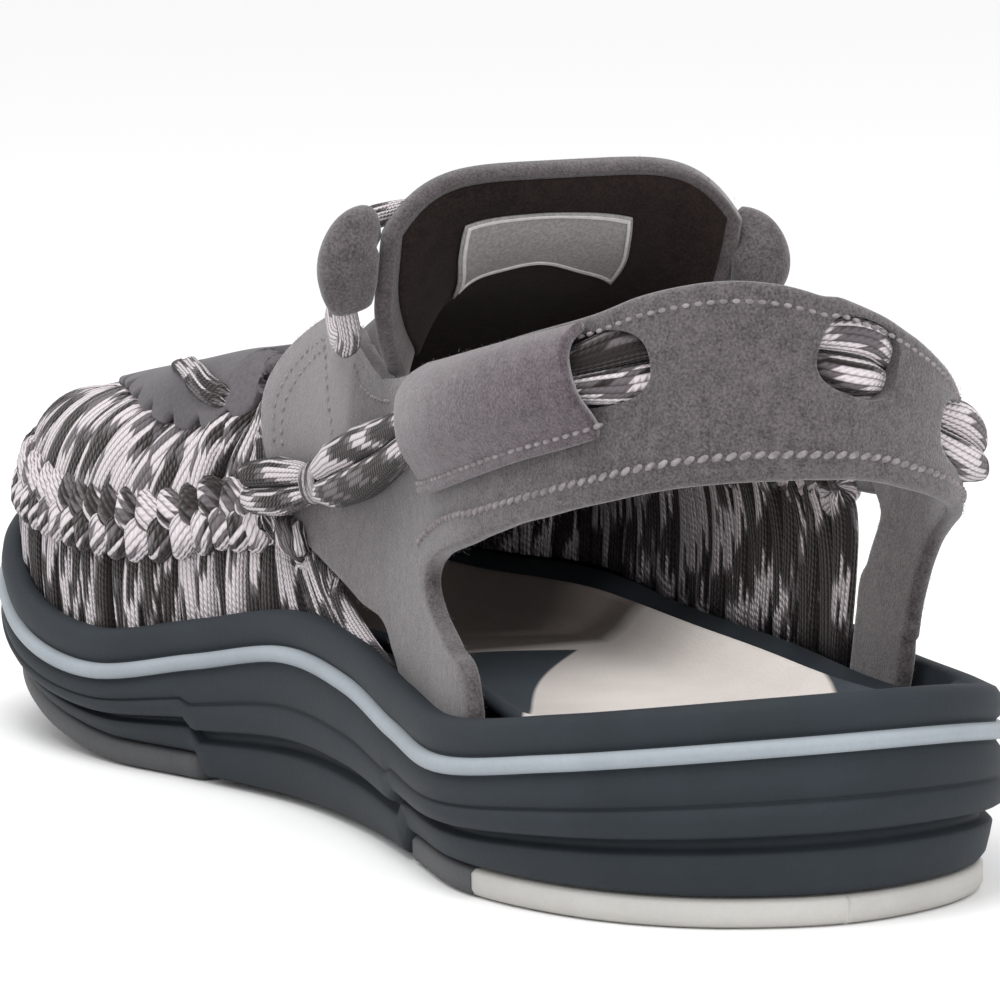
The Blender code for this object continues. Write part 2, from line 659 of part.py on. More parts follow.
def sheet(name, grid, thickness, offset, material, collection, cutters=()):
    """A wall of even thickness on a grid of points (rows, columns, 3), with its cut-outs."""
    rows, columns = grid.shape[:2]
    faces = [
        (r * columns + c, r * columns + c + 1, (r + 1) * columns + c + 1, (r + 1) * columns + c)
        for r in range(rows - 1)
        for c in range(columns - 1)
    ]
    return wall_object(name, grid.reshape(-1, 3), faces, thickness, offset, material, collection, cutters)


def wall_object(name, points, faces, thickness, offset, material, collection, cutters=()):
    obj = make_object(name, points, faces, material, collection, closed=False)
    solid = obj.modifiers.new("wall", "SOLIDIFY")
    solid.thickness = thickness
    solid.offset = offset
    for cutter in cutters:
        cut = obj.modifiers.new(cutter.name, "BOOLEAN")
        cut.operation = "DIFFERENCE"
        cut.object = cutter
    return obj


def strap_heights(length, side, share):
    """Heights in metres from shares of COLLAR_HEIGHT, with zero as the floor of the groove."""
    return np.where(share > 0, share * COLLAR_HEIGHT, groove_bottom(length, side))


def ribbon(rows, across, outwards=0.0):
    """A grid between two edges on the upper's side, each a row of side, lengths and heights."""
    side, front_length, front_share, rear_length, rear_share = np.asarray(rows, float).T
    front_height = strap_heights(front_length, side, front_share)
    rear_height = strap_heights(rear_length, side, rear_share)
    outwards = np.broadcast_to(outwards, (len(across),))
    columns = [
        wall_point(
            front_length + share * (rear_length - front_length),
            side,
            front_height + share * (rear_height - front_height),
            push,
        )
        for share, push in zip(across, outwards)
    ]
    return np.stack(columns, 1)


def window_cutter(name, side, length, height, across, slope, collection):
    """A rounded block that stands square to the strap, seen from outside."""
    middle = wall_point(length, side, height * COLLAR_HEIGHT)[0]
    outer = wall_point(length, side, height * COLLAR_HEIGHT, 0.001)[0]
    out = (outer - middle)[:2]
    turn = np.arctan2(out[1], out[0])
    bpy.ops.mesh.primitive_cube_add(size=1)
    cutter = bpy.context.object
    cutter.name = name
    cutter.data.transform(Matrix.Diagonal((0.016, across, WINDOW_HEIGHT, 1)))
    cutter.location = to_frame(middle)
    cutter.rotation_euler = (np.radians(slope), 0, turn)
    bevel = cutter.modifiers.new("round", "BEVEL")
    bevel.width = WINDOW_HEIGHT * 0.35
    bevel.segments = 2
    bevel.limit_method = "WEIGHT"
    weights = cutter.data.attributes.new("bevel_weight_edge", "FLOAT", "EDGE")
    for edge in cutter.data.edges:
        a, b = (cutter.data.vertices[i].co for i in edge.vertices)
        weights.data[edge.index].value = float(abs(a.x - b.x) > abs(a.y - b.y) + abs(a.z - b.z))
    cutter.hide_render = True
    cutter.display_type = "WIRE"
    for owner in list(cutter.users_collection):
        owner.objects.unlink(cutter)
    collection.objects.link(cutter)
    return cutter


def heel_strap(material, collection, cutter_collection):
    cutters = [window_cutter(*row, cutter_collection) for row in WINDOWS]
    grid = ribbon(STRAP, (0, 0.25, 0.5, 0.75, 1))
    return sheet("heel_strap", grid, STRAP_THICKNESS, 0, material, collection, cutters)


def panel_seat():
    """How far the outer panel's middle lies outside the strap's middle."""
    return (STRAP_THICKNESS + PANEL_THICKNESS) / 2 + GAP


def quarter_panel(material, collection):
    rows = np.column_stack([-np.ones(len(PANEL)), PANEL])
    grid = ribbon(rows, (0, 0.33, 0.67, 1), panel_seat())
    return sheet("quarter_panel", grid, PANEL_THICKNESS, 0, material, collection)


def cord_seat():
    """How far the middle of a cord that lies on the strap is from the strap's middle."""
    return STRAP_THICKNESS / 2 + GAP + CORD_DIAMETER / 2


def tunnel_flap(name, side, first, last, walls, material, collection):
    """A suede flap that arches over the heel cord, from the strap's top edge down."""
    lengths = np.linspace(first, last, 9)
    if walls == 0:
        edge = STRAP[(STRAP[:, 0] == side) & (STRAP[:, 1] < 0.42) & (STRAP[:, 2] > 0.75)][::-1]
        top = smooth(lengths, edge[:, 1], edge[:, 2]) * COLLAR_HEIGHT
    else:
        middle = np.array([row[1:3] for row in HEEL_CORD if row[0] == side])
        top = smooth(lengths, middle[:, 0], middle[:, 1]) * COLLAR_HEIGHT + FLAP_HEIGHT / 2
    base = STRAP_THICKNESS / 2 + GAP + FLAP_THICKNESS / 2 + walls * (PANEL_THICKNESS + GAP)
    bulge = CORD_DIAMETER + 2 * GAP
    columns = [
        wall_point(lengths, side, top - share * FLAP_HEIGHT, base + rise * bulge)
        for share, rise in FLAP_SECTION
    ]
    return sheet(name, np.stack(columns, 1), FLAP_THICKNESS, 0, material, collection)


def cord_route(rows, shift, points):
    """Evenly spaced points of a cord along the strap, shifted sideways on it from its middle."""
    side, length, height, seat = np.array(rows).T
    route = wall_point(length, side, height * COLLAR_HEIGHT, seat * cord_seat())
    outer = wall_point(length, side, height * COLLAR_HEIGHT, seat * cord_seat() + CORD_DIAMETER)
    middle = resample(route, points)
    out = resample(outer, points) - middle
    sideways = np.cross(np.gradient(middle, axis=0), out)
    sideways *= np.sign(sideways[:, 2:])
    return middle + shift * sideways / np.linalg.norm(sideways, axis=1)[:, None]


def resample(route, points):
    """Points at equal steps along a smooth curve through the route."""
    walk = np.concatenate([[0], np.cumsum(np.linalg.norm(np.diff(route, axis=0), axis=1))])
    fine = np.linspace(0, walk[-1], points * 20)
    curve = np.stack([smooth(fine, walk, route[:, axis]) for axis in range(3)], 1)
    pace = np.concatenate([[0], np.cumsum(np.linalg.norm(np.diff(curve, axis=0), axis=1))])
    at = np.linspace(0, pace[-1], points)
    return np.stack([np.interp(at, pace, curve[:, axis]) for axis in range(3)], 1)


def cord(name, route, diameter, material, collection):
    data = bpy.data.curves.new(name, "CURVE")
    data.dimensions = "3D"
    data.bevel_depth = diameter / 2
    data.bevel_resolution = 2
    data.use_fill_caps = True
    spline = data.splines.new("POLY")
    spline.points.add(len(route) - 1)
    for point, place in zip(spline.points, to_frame(route)):
        point.co = (*place, 1)
    data.materials.append(material)
    obj = bpy.data.objects.new(name, data)
    collection.objects.link(obj)
    return obj


def cage_guides(turn):
    """Foot points, top points, braid share and roundness of the cage at each turn."""
    table = {name: CAGE[:, i] for i, name in enumerate(CAGE_COLUMNS)}
    along = np.where(table["side"] > 0, table["foot"], 2 - table["foot"])
    foot_way = smooth(turn, table["turn"], along)
    foot_side = np.where(foot_way <= 1, 1, -1)
    foot_length = np.clip(np.where(foot_way <= 1, foot_way, 2 - foot_way), 0, 1)
    inset = LIP_WIDTH + 2 * GAP + CORD_RELIEF
    foot = np.column_stack([
        plan_point(foot_length, foot_side, inset), groove_bottom(foot_length, foot_side) + 4 * GAP
    ])
    top = np.column_stack([
        smooth(turn, table["turn"], table["top_length"]) * SHOE_LENGTH,
        smooth(turn, table["turn"], table["top_width"]) * SHOE_WIDTH,
        smooth(turn, table["turn"], table["top_height"]) * INSTEP_HEIGHT,
    ])
    braid = smooth(turn, table["turn"], table["braid"])
    arch = np.clip(smooth(turn, table["turn"], table["round"]), 0, 1)
    return foot, top, braid, arch


def cage_surface(turn, rise):
    """The cage's outer face at each turn and share of the way up, both of one shape."""
    foot, top, _, arch = cage_guides(turn)
    angle = np.clip(rise, 0, 1) * np.pi / 2
    inwards = 1 - np.cos(angle) ** ARCH_POWER
    upwards = np.sin(angle) ** ARCH_POWER
    inwards = rise + arch * (inwards - rise)
    upwards = rise + arch * (upwards - rise)
    share = np.column_stack([inwards, inwards, upwards])
    return foot + (top - foot) * share


def cage_rise(braid, part, share):
    """Share of the way up of a row of the cage."""
    low = braid * (1 - BRAID_SHARE / 2)
    high = braid + (1 - braid) * BRAID_SHARE / 2 + braid * BRAID_SHARE / 2
    if part == "lower":
        return share * low
    if part == "braid":
        return low + share * (high - low)
    return high + share * (1 - high)


def cord_cage(material, collection):
    """The woven forefoot as one wall: strands stand up from foot to braid and from braid to top,
    with a gap between neighbours wherever it is wide enough to see."""
    step = 0.002
    offsets = (GAP_SHARE / 2, 0.5, 1 - GAP_SHARE / 2)
    turn = np.array([(k + o) / STRAND_COUNT for k in range(STRAND_COUNT) for o in offsets])
    ridge = np.array([o == 0.5 for _ in range(STRAND_COUNT) for o in offsets])
    _, _, braid, _ = cage_guides(turn)
    rows = []
    for part, share, edge_relief, ridge_relief in CAGE_ROWS:
        rise = cage_rise(braid, part, share)
        here = cage_surface(turn, rise)
        along = cage_surface(np.clip(turn + step, 0, 1), rise) - cage_surface(np.clip(turn - step, 0, 1), rise)
        up = cage_surface(turn, np.clip(rise + step, 0, 1)) - cage_surface(turn, np.clip(rise - step, 0, 1))
        out = np.cross(up, along)
        out /= np.linalg.norm(out, axis=1)[:, None]
        out *= np.sign((out[:, :2] * (here - np.append(MIDDLE, 0))[:, :2]).sum(1))[:, None]
        relief = np.where(ridge, ridge_relief, edge_relief) * CORD_RELIEF
        rows.append(here + out * relief[:, None])
    grid = np.stack(rows)
    columns = grid.shape[1]
    faces = []
    for r in range(len(rows) - 1):
        open_row = CAGE_ROWS[r][:2] in (("lower", 0.26), ("upper", 0.00))
        for c in range(columns - 1):
            between = c % 3 == 2
            width = min(np.linalg.norm(grid[r + k, c + 1] - grid[r + k, c]) for k in (0, 1))
            if open_row and between and width > LEAST_GAP:
                continue
            faces.append((r * columns + c, r * columns + c + 1, (r + 1) * columns + c + 1, (r + 1) * columns + c))
    return wall_object("cord_cage", grid.reshape(-1, 3), faces, CORD_WALL, -1, material, collection)


def vamp_strip(material, collection):
    length, middle, half, height = (STRIP * (SHOE_LENGTH, SHOE_WIDTH, SHOE_WIDTH, INSTEP_HEIGHT)).T
    columns = [
        np.column_stack([length, middle + share * half, height - STRIP_DROP * share**2 * (half / half.max()) ** 2])
        for share in (-1, -0.5, 0, 0.5, 1)
    ]
    return sheet("vamp_strip", np.stack(columns, 1), STRIP_THICKNESS, 1, material, collection)


def tongue(material, collection):
    length, height, medial, lateral, drop = (
        TONGUE * (SHOE_LENGTH, TONGUE_HEIGHT, SHOE_WIDTH, SHOE_WIDTH, TONGUE_HEIGHT)
    ).T
    columns = []
    for share in (-1, -0.85, -0.55, -0.2, 0.2, 0.55, 0.85, 1):
        middle = (medial - lateral) / 2
        half = (medial + lateral) / 2
        columns.append(np.column_stack([
            length, middle + share * half, height - drop * abs(share) ** TONGUE_ARCH
        ]))
    return sheet("tongue", np.stack(columns, 1), TONGUE_THICKNESS, 0, material, collection)


def tongue_scale():
    return np.array([SHOE_LENGTH, SHOE_WIDTH, TONGUE_HEIGHT])


def tongue_tab(name, side, low, high, material, collection):
    """A suede strip folded round the instep cord, its two legs on either face of the tongue."""
    low = np.array(low) * tongue_scale()
    high = np.array(high) * tongue_scale()
    along = (high - low) / np.linalg.norm(high - low)
    across = np.array([0, side, 0]) - along * along[1] * side
    across /= np.linalg.norm(across)
    normal = np.cross(along, across)
    radius = CORD_DIAMETER / 2 + 3 * GAP + FLAP_THICKNESS / 2
    angles = np.radians((-90, -54, -18, 18, 54, 90))
    profile = [(-TAB_LEG, -radius)]
    profile += [(TAB_REACH + radius * np.cos(a), radius * np.sin(a)) for a in angles]
    profile += [(-TAB_LEG, radius)]
    grid = np.array([[end + u * across + v * normal for u, v in profile] for end in (low, high)])
    return sheet(name, grid, FLAP_THICKNESS, 0, material, collection)


def material(name, colour, roughness):
    made = bpy.data.materials.new(name)
    made.use_nodes = True
    shader = made.node_tree.nodes["Principled BSDF"]
    shader.inputs["Base Color"].default_value = (*colour, 1)
    shader.inputs["Roughness"].default_value = roughness
    return made


def new_collection(name):
    made = bpy.data.collections.new(name)
    bpy.context.scene.collection.children.link(made)
    return made


def build():
    for obj in list(bpy.data.objects):
        bpy.data.objects.remove(obj)
    sandal = new_collection("rope_sandal")
    cutters = new_collection("cutters")
    slate = material("midsole_foam", (0.045, 0.062, 0.075), 0.55)
    beige = material("footbed_lining", (0.62, 0.58, 0.52), 0.85)
    dark_rubber = material("dark_rubber", (0.05, 0.052, 0.055), 0.6)
    light_rubber = material("light_rubber", (0.60, 0.58, 0.56), 0.6)
    rope = material("woven_cord", (0.35, 0.32, 0.33), 0.9)
    suede = material("suede", (0.17, 0.15, 0.15), 0.95)
    smooth_trim = material("smooth_trim", (0.10, 0.10, 0.11), 0.45)
    lining = material("tongue_lining", (0.07, 0.06, 0.06), 0.9)

    midsole(slate, sandal)
    footbed(beige, sandal)
    heel_end = HEEL_RUBBER_LENGTH
    front_start = HEEL_RUBBER_LENGTH + GAP
    front_end = front_start + HEEL_FRONT_LENGTH
    heel = lugged(0, heel_end, HEEL_STATIONS, HEEL_CHANNELS)
    outsole("outsole_heel", *heel, (True, False), light_rubber, sandal)
    heel_front = lugged(front_start, front_end, (0, 1), HEEL_FRONT_CHANNELS)
    outsole("outsole_heel_front", *heel_front, (False, False), dark_rubber, sandal)
    forefoot = lugged(FOREFOOT_RUBBER_START, SHOE_LENGTH, FOREFOOT_STATIONS, FOREFOOT_CHANNELS)
    outsole("outsole_forefoot", *forefoot, (False, True), dark_rubber, sandal)

    cord_cage(rope, sandal)
    vamp_strip(smooth_trim, sandal)
    tongue(lining, sandal)
    heel_strap(suede, sandal, cutters)
    quarter_panel(suede, sandal)
    for row in FLAPS:
        tunnel_flap(*row, suede, sandal)
    for name, shift in (("heel_cord_upper", 1), ("heel_cord_lower", -1)):
        pitch = (CORD_DIAMETER + GAP) / 2
        cord(name, cord_route(HEEL_CORD, shift * pitch, CORD_POINTS), CORD_DIAMETER, rope, sandal)
    for row in TABS:
        tongue_tab(*row, suede, sandal)
    over_instep = resample(INSTEP_CORD * tongue_scale(), INSTEP_POINTS)
    cord("instep_cord", over_instep, CORD_DIAMETER, rope, sandal)


build()
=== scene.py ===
# %% [markdown]
# # A rope sandal, dressed
#
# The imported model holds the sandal's solids at their real size. This lesson gives them their looks:
# foam, rubber, suede and hundreds of turns of woven cord. Every piece below is worked out with
# numpy on a grid of two parameters, and it lies where the solid that it stands for lies.
#
# The frame is in metres: +X to the toe, +Y to the inner side of the foot, +Z up. The tables are
# written in thousandths or hundredths and divided at once.

import bmesh
import bpy
import numpy as np
from mathutils import Matrix


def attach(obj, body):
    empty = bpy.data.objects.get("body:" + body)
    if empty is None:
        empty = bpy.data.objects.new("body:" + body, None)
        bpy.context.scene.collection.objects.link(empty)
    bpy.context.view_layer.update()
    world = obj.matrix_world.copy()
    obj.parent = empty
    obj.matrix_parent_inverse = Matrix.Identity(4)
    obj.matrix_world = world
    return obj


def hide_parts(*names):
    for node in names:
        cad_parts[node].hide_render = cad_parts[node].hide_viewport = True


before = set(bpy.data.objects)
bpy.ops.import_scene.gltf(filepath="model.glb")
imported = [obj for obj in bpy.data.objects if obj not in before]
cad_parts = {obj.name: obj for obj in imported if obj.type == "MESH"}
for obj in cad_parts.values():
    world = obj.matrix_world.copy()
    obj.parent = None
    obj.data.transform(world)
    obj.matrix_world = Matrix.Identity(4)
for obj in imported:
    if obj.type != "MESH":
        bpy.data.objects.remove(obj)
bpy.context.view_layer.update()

# %% [markdown]
# ## Lines and directions
#
# A few sums come back in every cell: make directions one long, measure how far along a line each
# point lies, and read a table or a line between its rows. They are written once here.

# %% Small sums
TINY = 1e-12


def unit(vectors):
    """The same directions, one long."""
    return vectors / np.maximum(np.linalg.norm(vectors, axis=-1), TINY)[..., None]


def walked(points):
    """How far along a line each of its points lies; the points run along the second last axis."""
    steps = np.linalg.norm(np.diff(points, axis=-2), axis=-1)
    return np.concatenate([np.zeros(steps.shape[:-1] + (1,)), np.cumsum(steps, -1)], -1)


def on_line(at, walk, points):
    """Points on a broken line whose corners lie at the distances in walk."""
    return np.stack([np.interp(at, walk, column) for column in points.T], -1)


def smooth(at, places, values):
    """A cubic through a table's rows, with the mean slope of both sides at each row."""
    places, values = np.asarray(places, float), np.asarray(values, float)
    slopes = np.gradient(values, places)
    row = np.clip(np.searchsorted(places, at) - 1, 0, len(places) - 2)
    step = places[row + 1] - places[row]
    part = (at - places[row]) / step
    return (
        values[row] * (1 + 2 * part) * (1 - part) ** 2
        + values[row + 1] * part**2 * (3 - 2 * part)
        + step * part * (1 - part) * (slopes[row] * (1 - part) - slopes[row + 1] * part)
    )


def columns(at, table, places=None):
    """Every column of a table, smoothed at the given places, or at row numbers."""
    places = np.arange(len(table)) if places is None else places
    return [smooth(at, places, column) for column in table.T]


def ease(at, start, end):
    """0 before start, 1 after end, 3t^2 - 2t^3 between them."""
    part = np.clip((at - start) / (end - start), 0, 1)
    return part * part * (3 - 2 * part)


def net(first, second):
    """Two rows of parameters as one grid."""
    return np.meshgrid(first, second, indexing="ij")


def add_object(name, data, pose=None):
    """A new object in the scene; pose holds its three directions and its place as rows."""
    made = bpy.data.objects.new(name, data)
    if pose is not None:
        made.matrix_world = Matrix([*np.stack(pose, 1).tolist(), [0, 0, 0, 1]])
    bpy.context.scene.collection.objects.link(made)
    return made


# %% [markdown]
# ## The camera
#
# The photograph was taken from behind the heel and a little to the inner side, from far away with
# a long lens, so the lines of the sole hardly converge. The camera is placed by its position and
# three angles: yaw towards -Y, pitch downwards, and a roll of the level frame that they give.

# %% Place the camera
CAMERA_PLACE = (-1.10110, 0.47794, 0.19426)
YAW, PITCH, ROLL = 0.411, 0.121, -0.019
LENS = 263.88

forward = np.array([np.cos(PITCH) * np.cos(YAW), -np.cos(PITCH) * np.sin(YAW), -np.sin(PITCH)])
level = unit(np.cross(forward, (0, 0, 1)))
above = np.cross(level, forward)
right = np.cos(ROLL) * level + np.sin(ROLL) * above
up = np.cos(ROLL) * above - np.sin(ROLL) * level
lens = bpy.data.cameras.new("view")
lens.lens = LENS
lens.sensor_width = 36
bpy.context.scene.camera = add_object("view", lens, (right, up, -forward, CAMERA_PLACE))
print("camera looks along", forward.round(3))

# %% [markdown]
# ## The last: where every surface of the sandal lies
#
# A shoe is built round a last. Here the last is a few short tables: the outline of the sole, the
# height of its rim and of the footbed, and how far the upper leans in as it rises. Each first
# column is a share of the length, and the others are shares of the sizes named above them.

# %% Tables of the last
LENGTH, WIDTH, RIM_TOP, BED_TOP, TOE_SPRING = 0.292, 0.1022, 0.035, 0.021, 0.015
INSTEP, COLLAR, TONGUE_TOP = 0.093, 0.093, 0.1065
LIP, GROOVE, CLEAR = 0.0045, 0.0050, 0.0003

# length, inner half width, outer half width
OUTLINE = np.array([
    (20, 186, 196), (60, 308, 326), (120, 387, 396), (200, 422, 403), (300, 378, 417), (400, 337, 439),
    (500, 328, 478), (600, 372, 524), (700, 438, 552), (800, 448, 519), (880, 404, 431), (940, 321, 313),
    (980, 215, 176),
]) / 1000
# length, rim height on the inner and on the outer side
RIM = np.array([
    (0, 100, 100), (10, 88, 87), (20, 78, 89), (30, 81, 95), (40, 90, 95), (50, 93, 94), (60, 80, 97),
    (70, 67, 97), (80, 73, 94), (90, 94, 98), (100, 114, 114),
]) / 100
# length, height of the footbed, height of the tread
BED = np.array([
    (0, 116, 0), (10, 102, 0), (20, 97, 0), (30, 96, 0), (40, 97, 0), (50, 95, 0), (60, 83, 0),
    (69, 71, 0), (75, 68, 10), (80, 70, 24), (90, 94, 62), (100, 136, 100),
]) / 100
# length, height where the upper would close, power of its curve
LEAN = np.array([
    (0, 210, 260), (15, 200, 260), (25, 160, 280), (35, 120, 320), (45, 102, 360), (55, 93, 320),
]) / 100


# %% The outline as one closed loop
def outline_loop(count=4320):
    """Cubic through the outline's points from heel along the inner side, round the toe and back."""
    length, medial, lateral = OUTLINE.T
    x = np.concatenate([[0], length, [1], length[::-1], [0]]) * LENGTH
    y = np.concatenate([[0], medial, [0.03], -lateral[::-1], [0]]) * WIDTH
    walk = np.concatenate([[0], np.cumsum(np.hypot(np.diff(x), np.diff(y)) ** 0.5)])
    closed = np.concatenate([walk[-4:-1] - walk[-1], walk, walk[1:4] + walk[-1]])
    at = np.linspace(0, walk[-1], count, endpoint=False)
    return np.stack([smooth(at, closed, np.concatenate([v[-4:-1], v, v[1:4]])) for v in (x, y)], 1)


loop = outline_loop()
loop[:, 0] = (loop[:, 0] - loop[:, 0].min()) * LENGTH / np.ptp(loop[:, 0])
MIDDLE = np.array([LENGTH / 2, -0.0051482, 0.0])
loop = np.roll(loop, -int(loop[:, 0].argmin()), 0)
tangent = unit(np.roll(loop, -1, 0) - np.roll(loop, 1, 0))
outward = np.stack([tangent[:, 1], -tangent[:, 0]], 1)
outward *= np.sign((outward * (loop - MIDDLE[:2])).sum(1).mean())
toe_row = int(loop[:, 0].argmax())
SIDES = {1: np.arange(toe_row + 1), -1: np.append(np.arange(toe_row, len(loop)), 0)[::-1]}
print("outline points:", len(loop), "width mm:", round(float(np.ptp(loop[:, 1])) * 1000, 1))


def plan(length, side, inset):
    """The outline's point at each length on one side, moved inwards along its normal by inset."""
    length, side, inset = np.broadcast_arrays(np.asarray(length, float), side, inset)
    result = np.zeros(length.shape + (2,))
    for sign, rows in SIDES.items():
        mask = side == sign
        steps = np.arange(len(rows))
        where = np.interp(length[mask] * LENGTH, loop[rows, 0], steps)
        line, normal = on_line(where, steps, loop[rows]), on_line(where, steps, outward[rows])
        result[mask] = line - normal * inset[mask][:, None]
    return result


def rim_height(length, side):
    """Height of the rim's lip on either side."""
    inner, outer = columns(length, RIM[:, 1:], RIM[:, 0])
    return np.where(side > 0, inner, outer) * RIM_TOP


def bed_height(length):
    return smooth(length, BED[:, 0], BED[:, 1]) * BED_TOP


def tread_height(length):
    return np.maximum(smooth(length, BED[:, 0], BED[:, 2]), 0) * TOE_SPRING


def wall(length, side, height, out=0.0):
    """A point on the upper's side: plan point in the sole's groove, leaning in by the superellipse
    half * (1 - (1 - rise^p)^(1/p)) as it rises, and out metres outside it."""
    length, side, height, out = np.broadcast_arrays(np.asarray(length, float), side, height, out)
    rim = rim_height(length, side)
    crown, power = columns(length, LEAN[:, 1:], LEAN[:, 0])
    rise = np.clip((height - rim) / (crown * INSTEP - rim), 0, 0.98)
    seat = LIP + CLEAR + GROOVE / 2
    half = np.abs(plan(length, side, seat)[..., 1])
    lean = half * (1 - (1 - rise**power) ** (1 / power))
    return np.concatenate([plan(length, side, seat + lean - out), height[..., None]], -1)


# %% [markdown]
# ## Turning grids into meshes
#
# Nearly every piece is one of two things. A tube is a ring of points carried along a path: the
# midsole's profile round the sole, or a cord. A slab is a sheet of even thickness with rounded
# edges: suede, a tongue or a panel. Both become rings here, so one helper builds them all.

# %% Mesh helpers
def put_mesh(name, points, quads, finish, replaces=(), uv=None, caps=()):
    """A smooth mesh object from points and faces in the outline's frame, riding on the body."""
    mesh = bpy.data.meshes.new(name)
    placed = np.asarray(points, float).reshape(-1, 3) - MIDDLE
    mesh.from_pydata(placed.tolist(), [], quads.tolist() + list(caps))
    if uv is not None:
        filled = np.zeros((len(mesh.loops), 2))
        filled[: len(uv)] = uv
        mesh.uv_layers.new(name="UVMap").data.foreach_set("uv", filled.ravel())
    work = bmesh.new()
    work.from_mesh(mesh)
    bmesh.ops.recalc_face_normals(work, faces=work.faces)
    work.to_mesh(mesh)
    work.free()
    mesh.shade_smooth()
    mesh.materials.append(finish)
    piece = add_object(name, mesh)
    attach(piece, "root")
    if replaces:
        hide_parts(*replaces)
    return piece


def tube_faces(rings, around):
    """Quads between neighbouring rings."""
    i, k = np.arange(rings - 1)[:, None], np.arange(around)[None, :]
    here, beside = i * around + k, i * around + (k + 1) % around
    return np.stack([here, here + around, beside + around, beside], -1).reshape(-1, 4)


def normals(grid):
    """Unit cross product of the grid's two directions at every point."""
    return unit(np.cross(np.gradient(grid, axis=0), np.gradient(grid, axis=1)))


def slab_rings(grid, thickness):
    """Rings round a sheet: its outer face, a half-round edge, its inner face and the other edge."""
    out = normals(grid) * thickness / 2
    across = unit(np.gradient(grid, axis=1)) * thickness / 2
    angle = np.radians((60, 30, 0, -30, -60))[:, None]
    last = grid[:, -1:] + np.cos(angle) * across[:, -1:] + np.sin(angle) * out[:, -1:]
    first = grid[:, :1] - np.cos(angle) * across[:, :1] - np.sin(angle) * out[:, :1]
    return np.concatenate([grid + out, last, (grid - out)[:, ::-1], first], 1)


def end_caps(rings, around, across):
    """Faces that close both ends of a slab, from each outer point to the inner one behind it."""
    caps = []
    for start in (0, (rings - 1) * around):
        for a in range(-3, across + 2):
            behind = 2 * across + 4 - a
            face = dict.fromkeys(v % around for v in (a, a + 1, behind - 1, behind))
            caps += [[start + v for v in face]] if len(face) > 2 else []
    return caps


def slab(name, grid, thickness, finish, replaces=()):
    """A sheet of even thickness round the grid, closed at its ends."""
    rings = slab_rings(grid, thickness)
    caps = end_caps(*rings.shape[:2], grid.shape[1])
    return put_mesh(name, rings, tube_faces(*rings.shape[:2]), finish, replaces, caps=caps)


# %% [markdown]
# ## Shader sums in plain Python
#
# A pattern in a shader is a sum on sockets. The small class below wraps a socket, so that
# `1 - mask * 0.5` adds the Math nodes by itself. A finish is a Principled shader with a few
# constants and one method that adds any other node.

# %% Shader helpers
class Wire:
    """A socket in a sum: each operator adds one Math node."""

    def __init__(self, finish, socket):
        self.finish, self.socket = finish, socket

    def maths(self, operation, *values, clamp=False):
        return self.finish.node("ShaderNodeMath", {"operation": operation, "use_clamp": clamp}, *values)

    def __add__(self, other):
        return self.maths("ADD", self, other)

    def __radd__(self, other):
        return self.maths("ADD", other, self)

    def __sub__(self, other):
        return self.maths("SUBTRACT", self, other)

    def __rsub__(self, other):
        return self.maths("SUBTRACT", other, self)

    def __mul__(self, other):
        return self.maths("MULTIPLY", self, other)

    def sine(self):
        return self.maths("SINE", self)

    def mask(self, gain):
        """The value times gain, kept between 0 and 1."""
        return self.maths("MULTIPLY", self, gain, clamp=True)


class Finish:
    """A material with a Principled shader; feed() sets or links one of the shader's sockets."""

    def __init__(self, name, **constants):
        self.material = bpy.data.materials.new(name)
        self.material.use_nodes = True
        self.tree = self.material.node_tree
        self.shader = self.tree.nodes["Principled BSDF"]
        for key, value in constants.items():
            self.feed(key.replace("_", " "), value)

    def link(self, socket, value):
        if isinstance(value, Wire):
            self.tree.links.new(value.socket, socket)
        else:
            socket.default_value = value

    def feed(self, key, value):
        self.link(self.shader.inputs[key], value)

    def node(self, kind, settings, *values, output=0, **named):
        made = self.tree.nodes.new(kind)
        for key, value in settings.items():
            setattr(made, key, value)
        for key, value in [*enumerate(values), *named.items()]:
            self.link(made.inputs[key], value)
        return Wire(self, made.outputs[output])

    def place(self, kind="Object"):
        """Object coordinates in metres, or the UV map."""
        return self.node("ShaderNodeTexCoord", {}, output=kind)

    def axes(self, vector):
        return [self.node("ShaderNodeSeparateXYZ", {}, vector, output=name) for name in "XYZ"]

    def noise(self, vector, scale, detail=2.0, roughness=0.5, **settings):
        return self.node(
            "ShaderNodeTexNoise", settings, Vector=vector, Scale=scale, Detail=detail, Roughness=roughness
        )

    def ramp(self, factor, *stops):
        """Screen colours at places along a ramp."""
        wire = self.node("ShaderNodeValToRGB", {}, factor)
        elements = wire.socket.node.color_ramp.elements
        while len(elements) < len(stops):
            elements.new(0.5)
        for element, (place, colour) in zip(elements, stops):
            element.position, element.color = place, tint(*colour)
        return wire

    def dye(self, factor, *stops):
        self.feed("Base Color", self.ramp(factor, *stops))

    def blend(self, factor, first, second):
        made = self.tree.nodes.new("ShaderNodeMix")
        made.data_type = "RGBA"
        for index, value in ((0, factor), (6, first), (7, second)):
            self.link(made.inputs[index], value)
        return Wire(self, made.outputs[2])

    def bump(self, height, distance):
        self.feed("Normal", self.node("ShaderNodeBump", {}, Strength=1.0, Distance=distance, Height=height))


def tint(*colour):
    """A screen colour from 0 to 255 as the linear colour that Blender mixes."""
    share = np.array(colour) / 255
    linear = np.where(share <= 0.04045, share / 12.92, ((share + 0.055) / 1.055) ** 2.4)
    return (*linear.tolist(), 1.0)


# %% [markdown]
# ## Foam and rubber
#
# The midsole is moulded foam, dark slate with a faint grain from its mould. The stripe let into
# its side is a paler foam. The tread is rubber: light at the heel, dark elsewhere. Each is one
# colour, softly mottled by noise, with a fine bump for the grain.

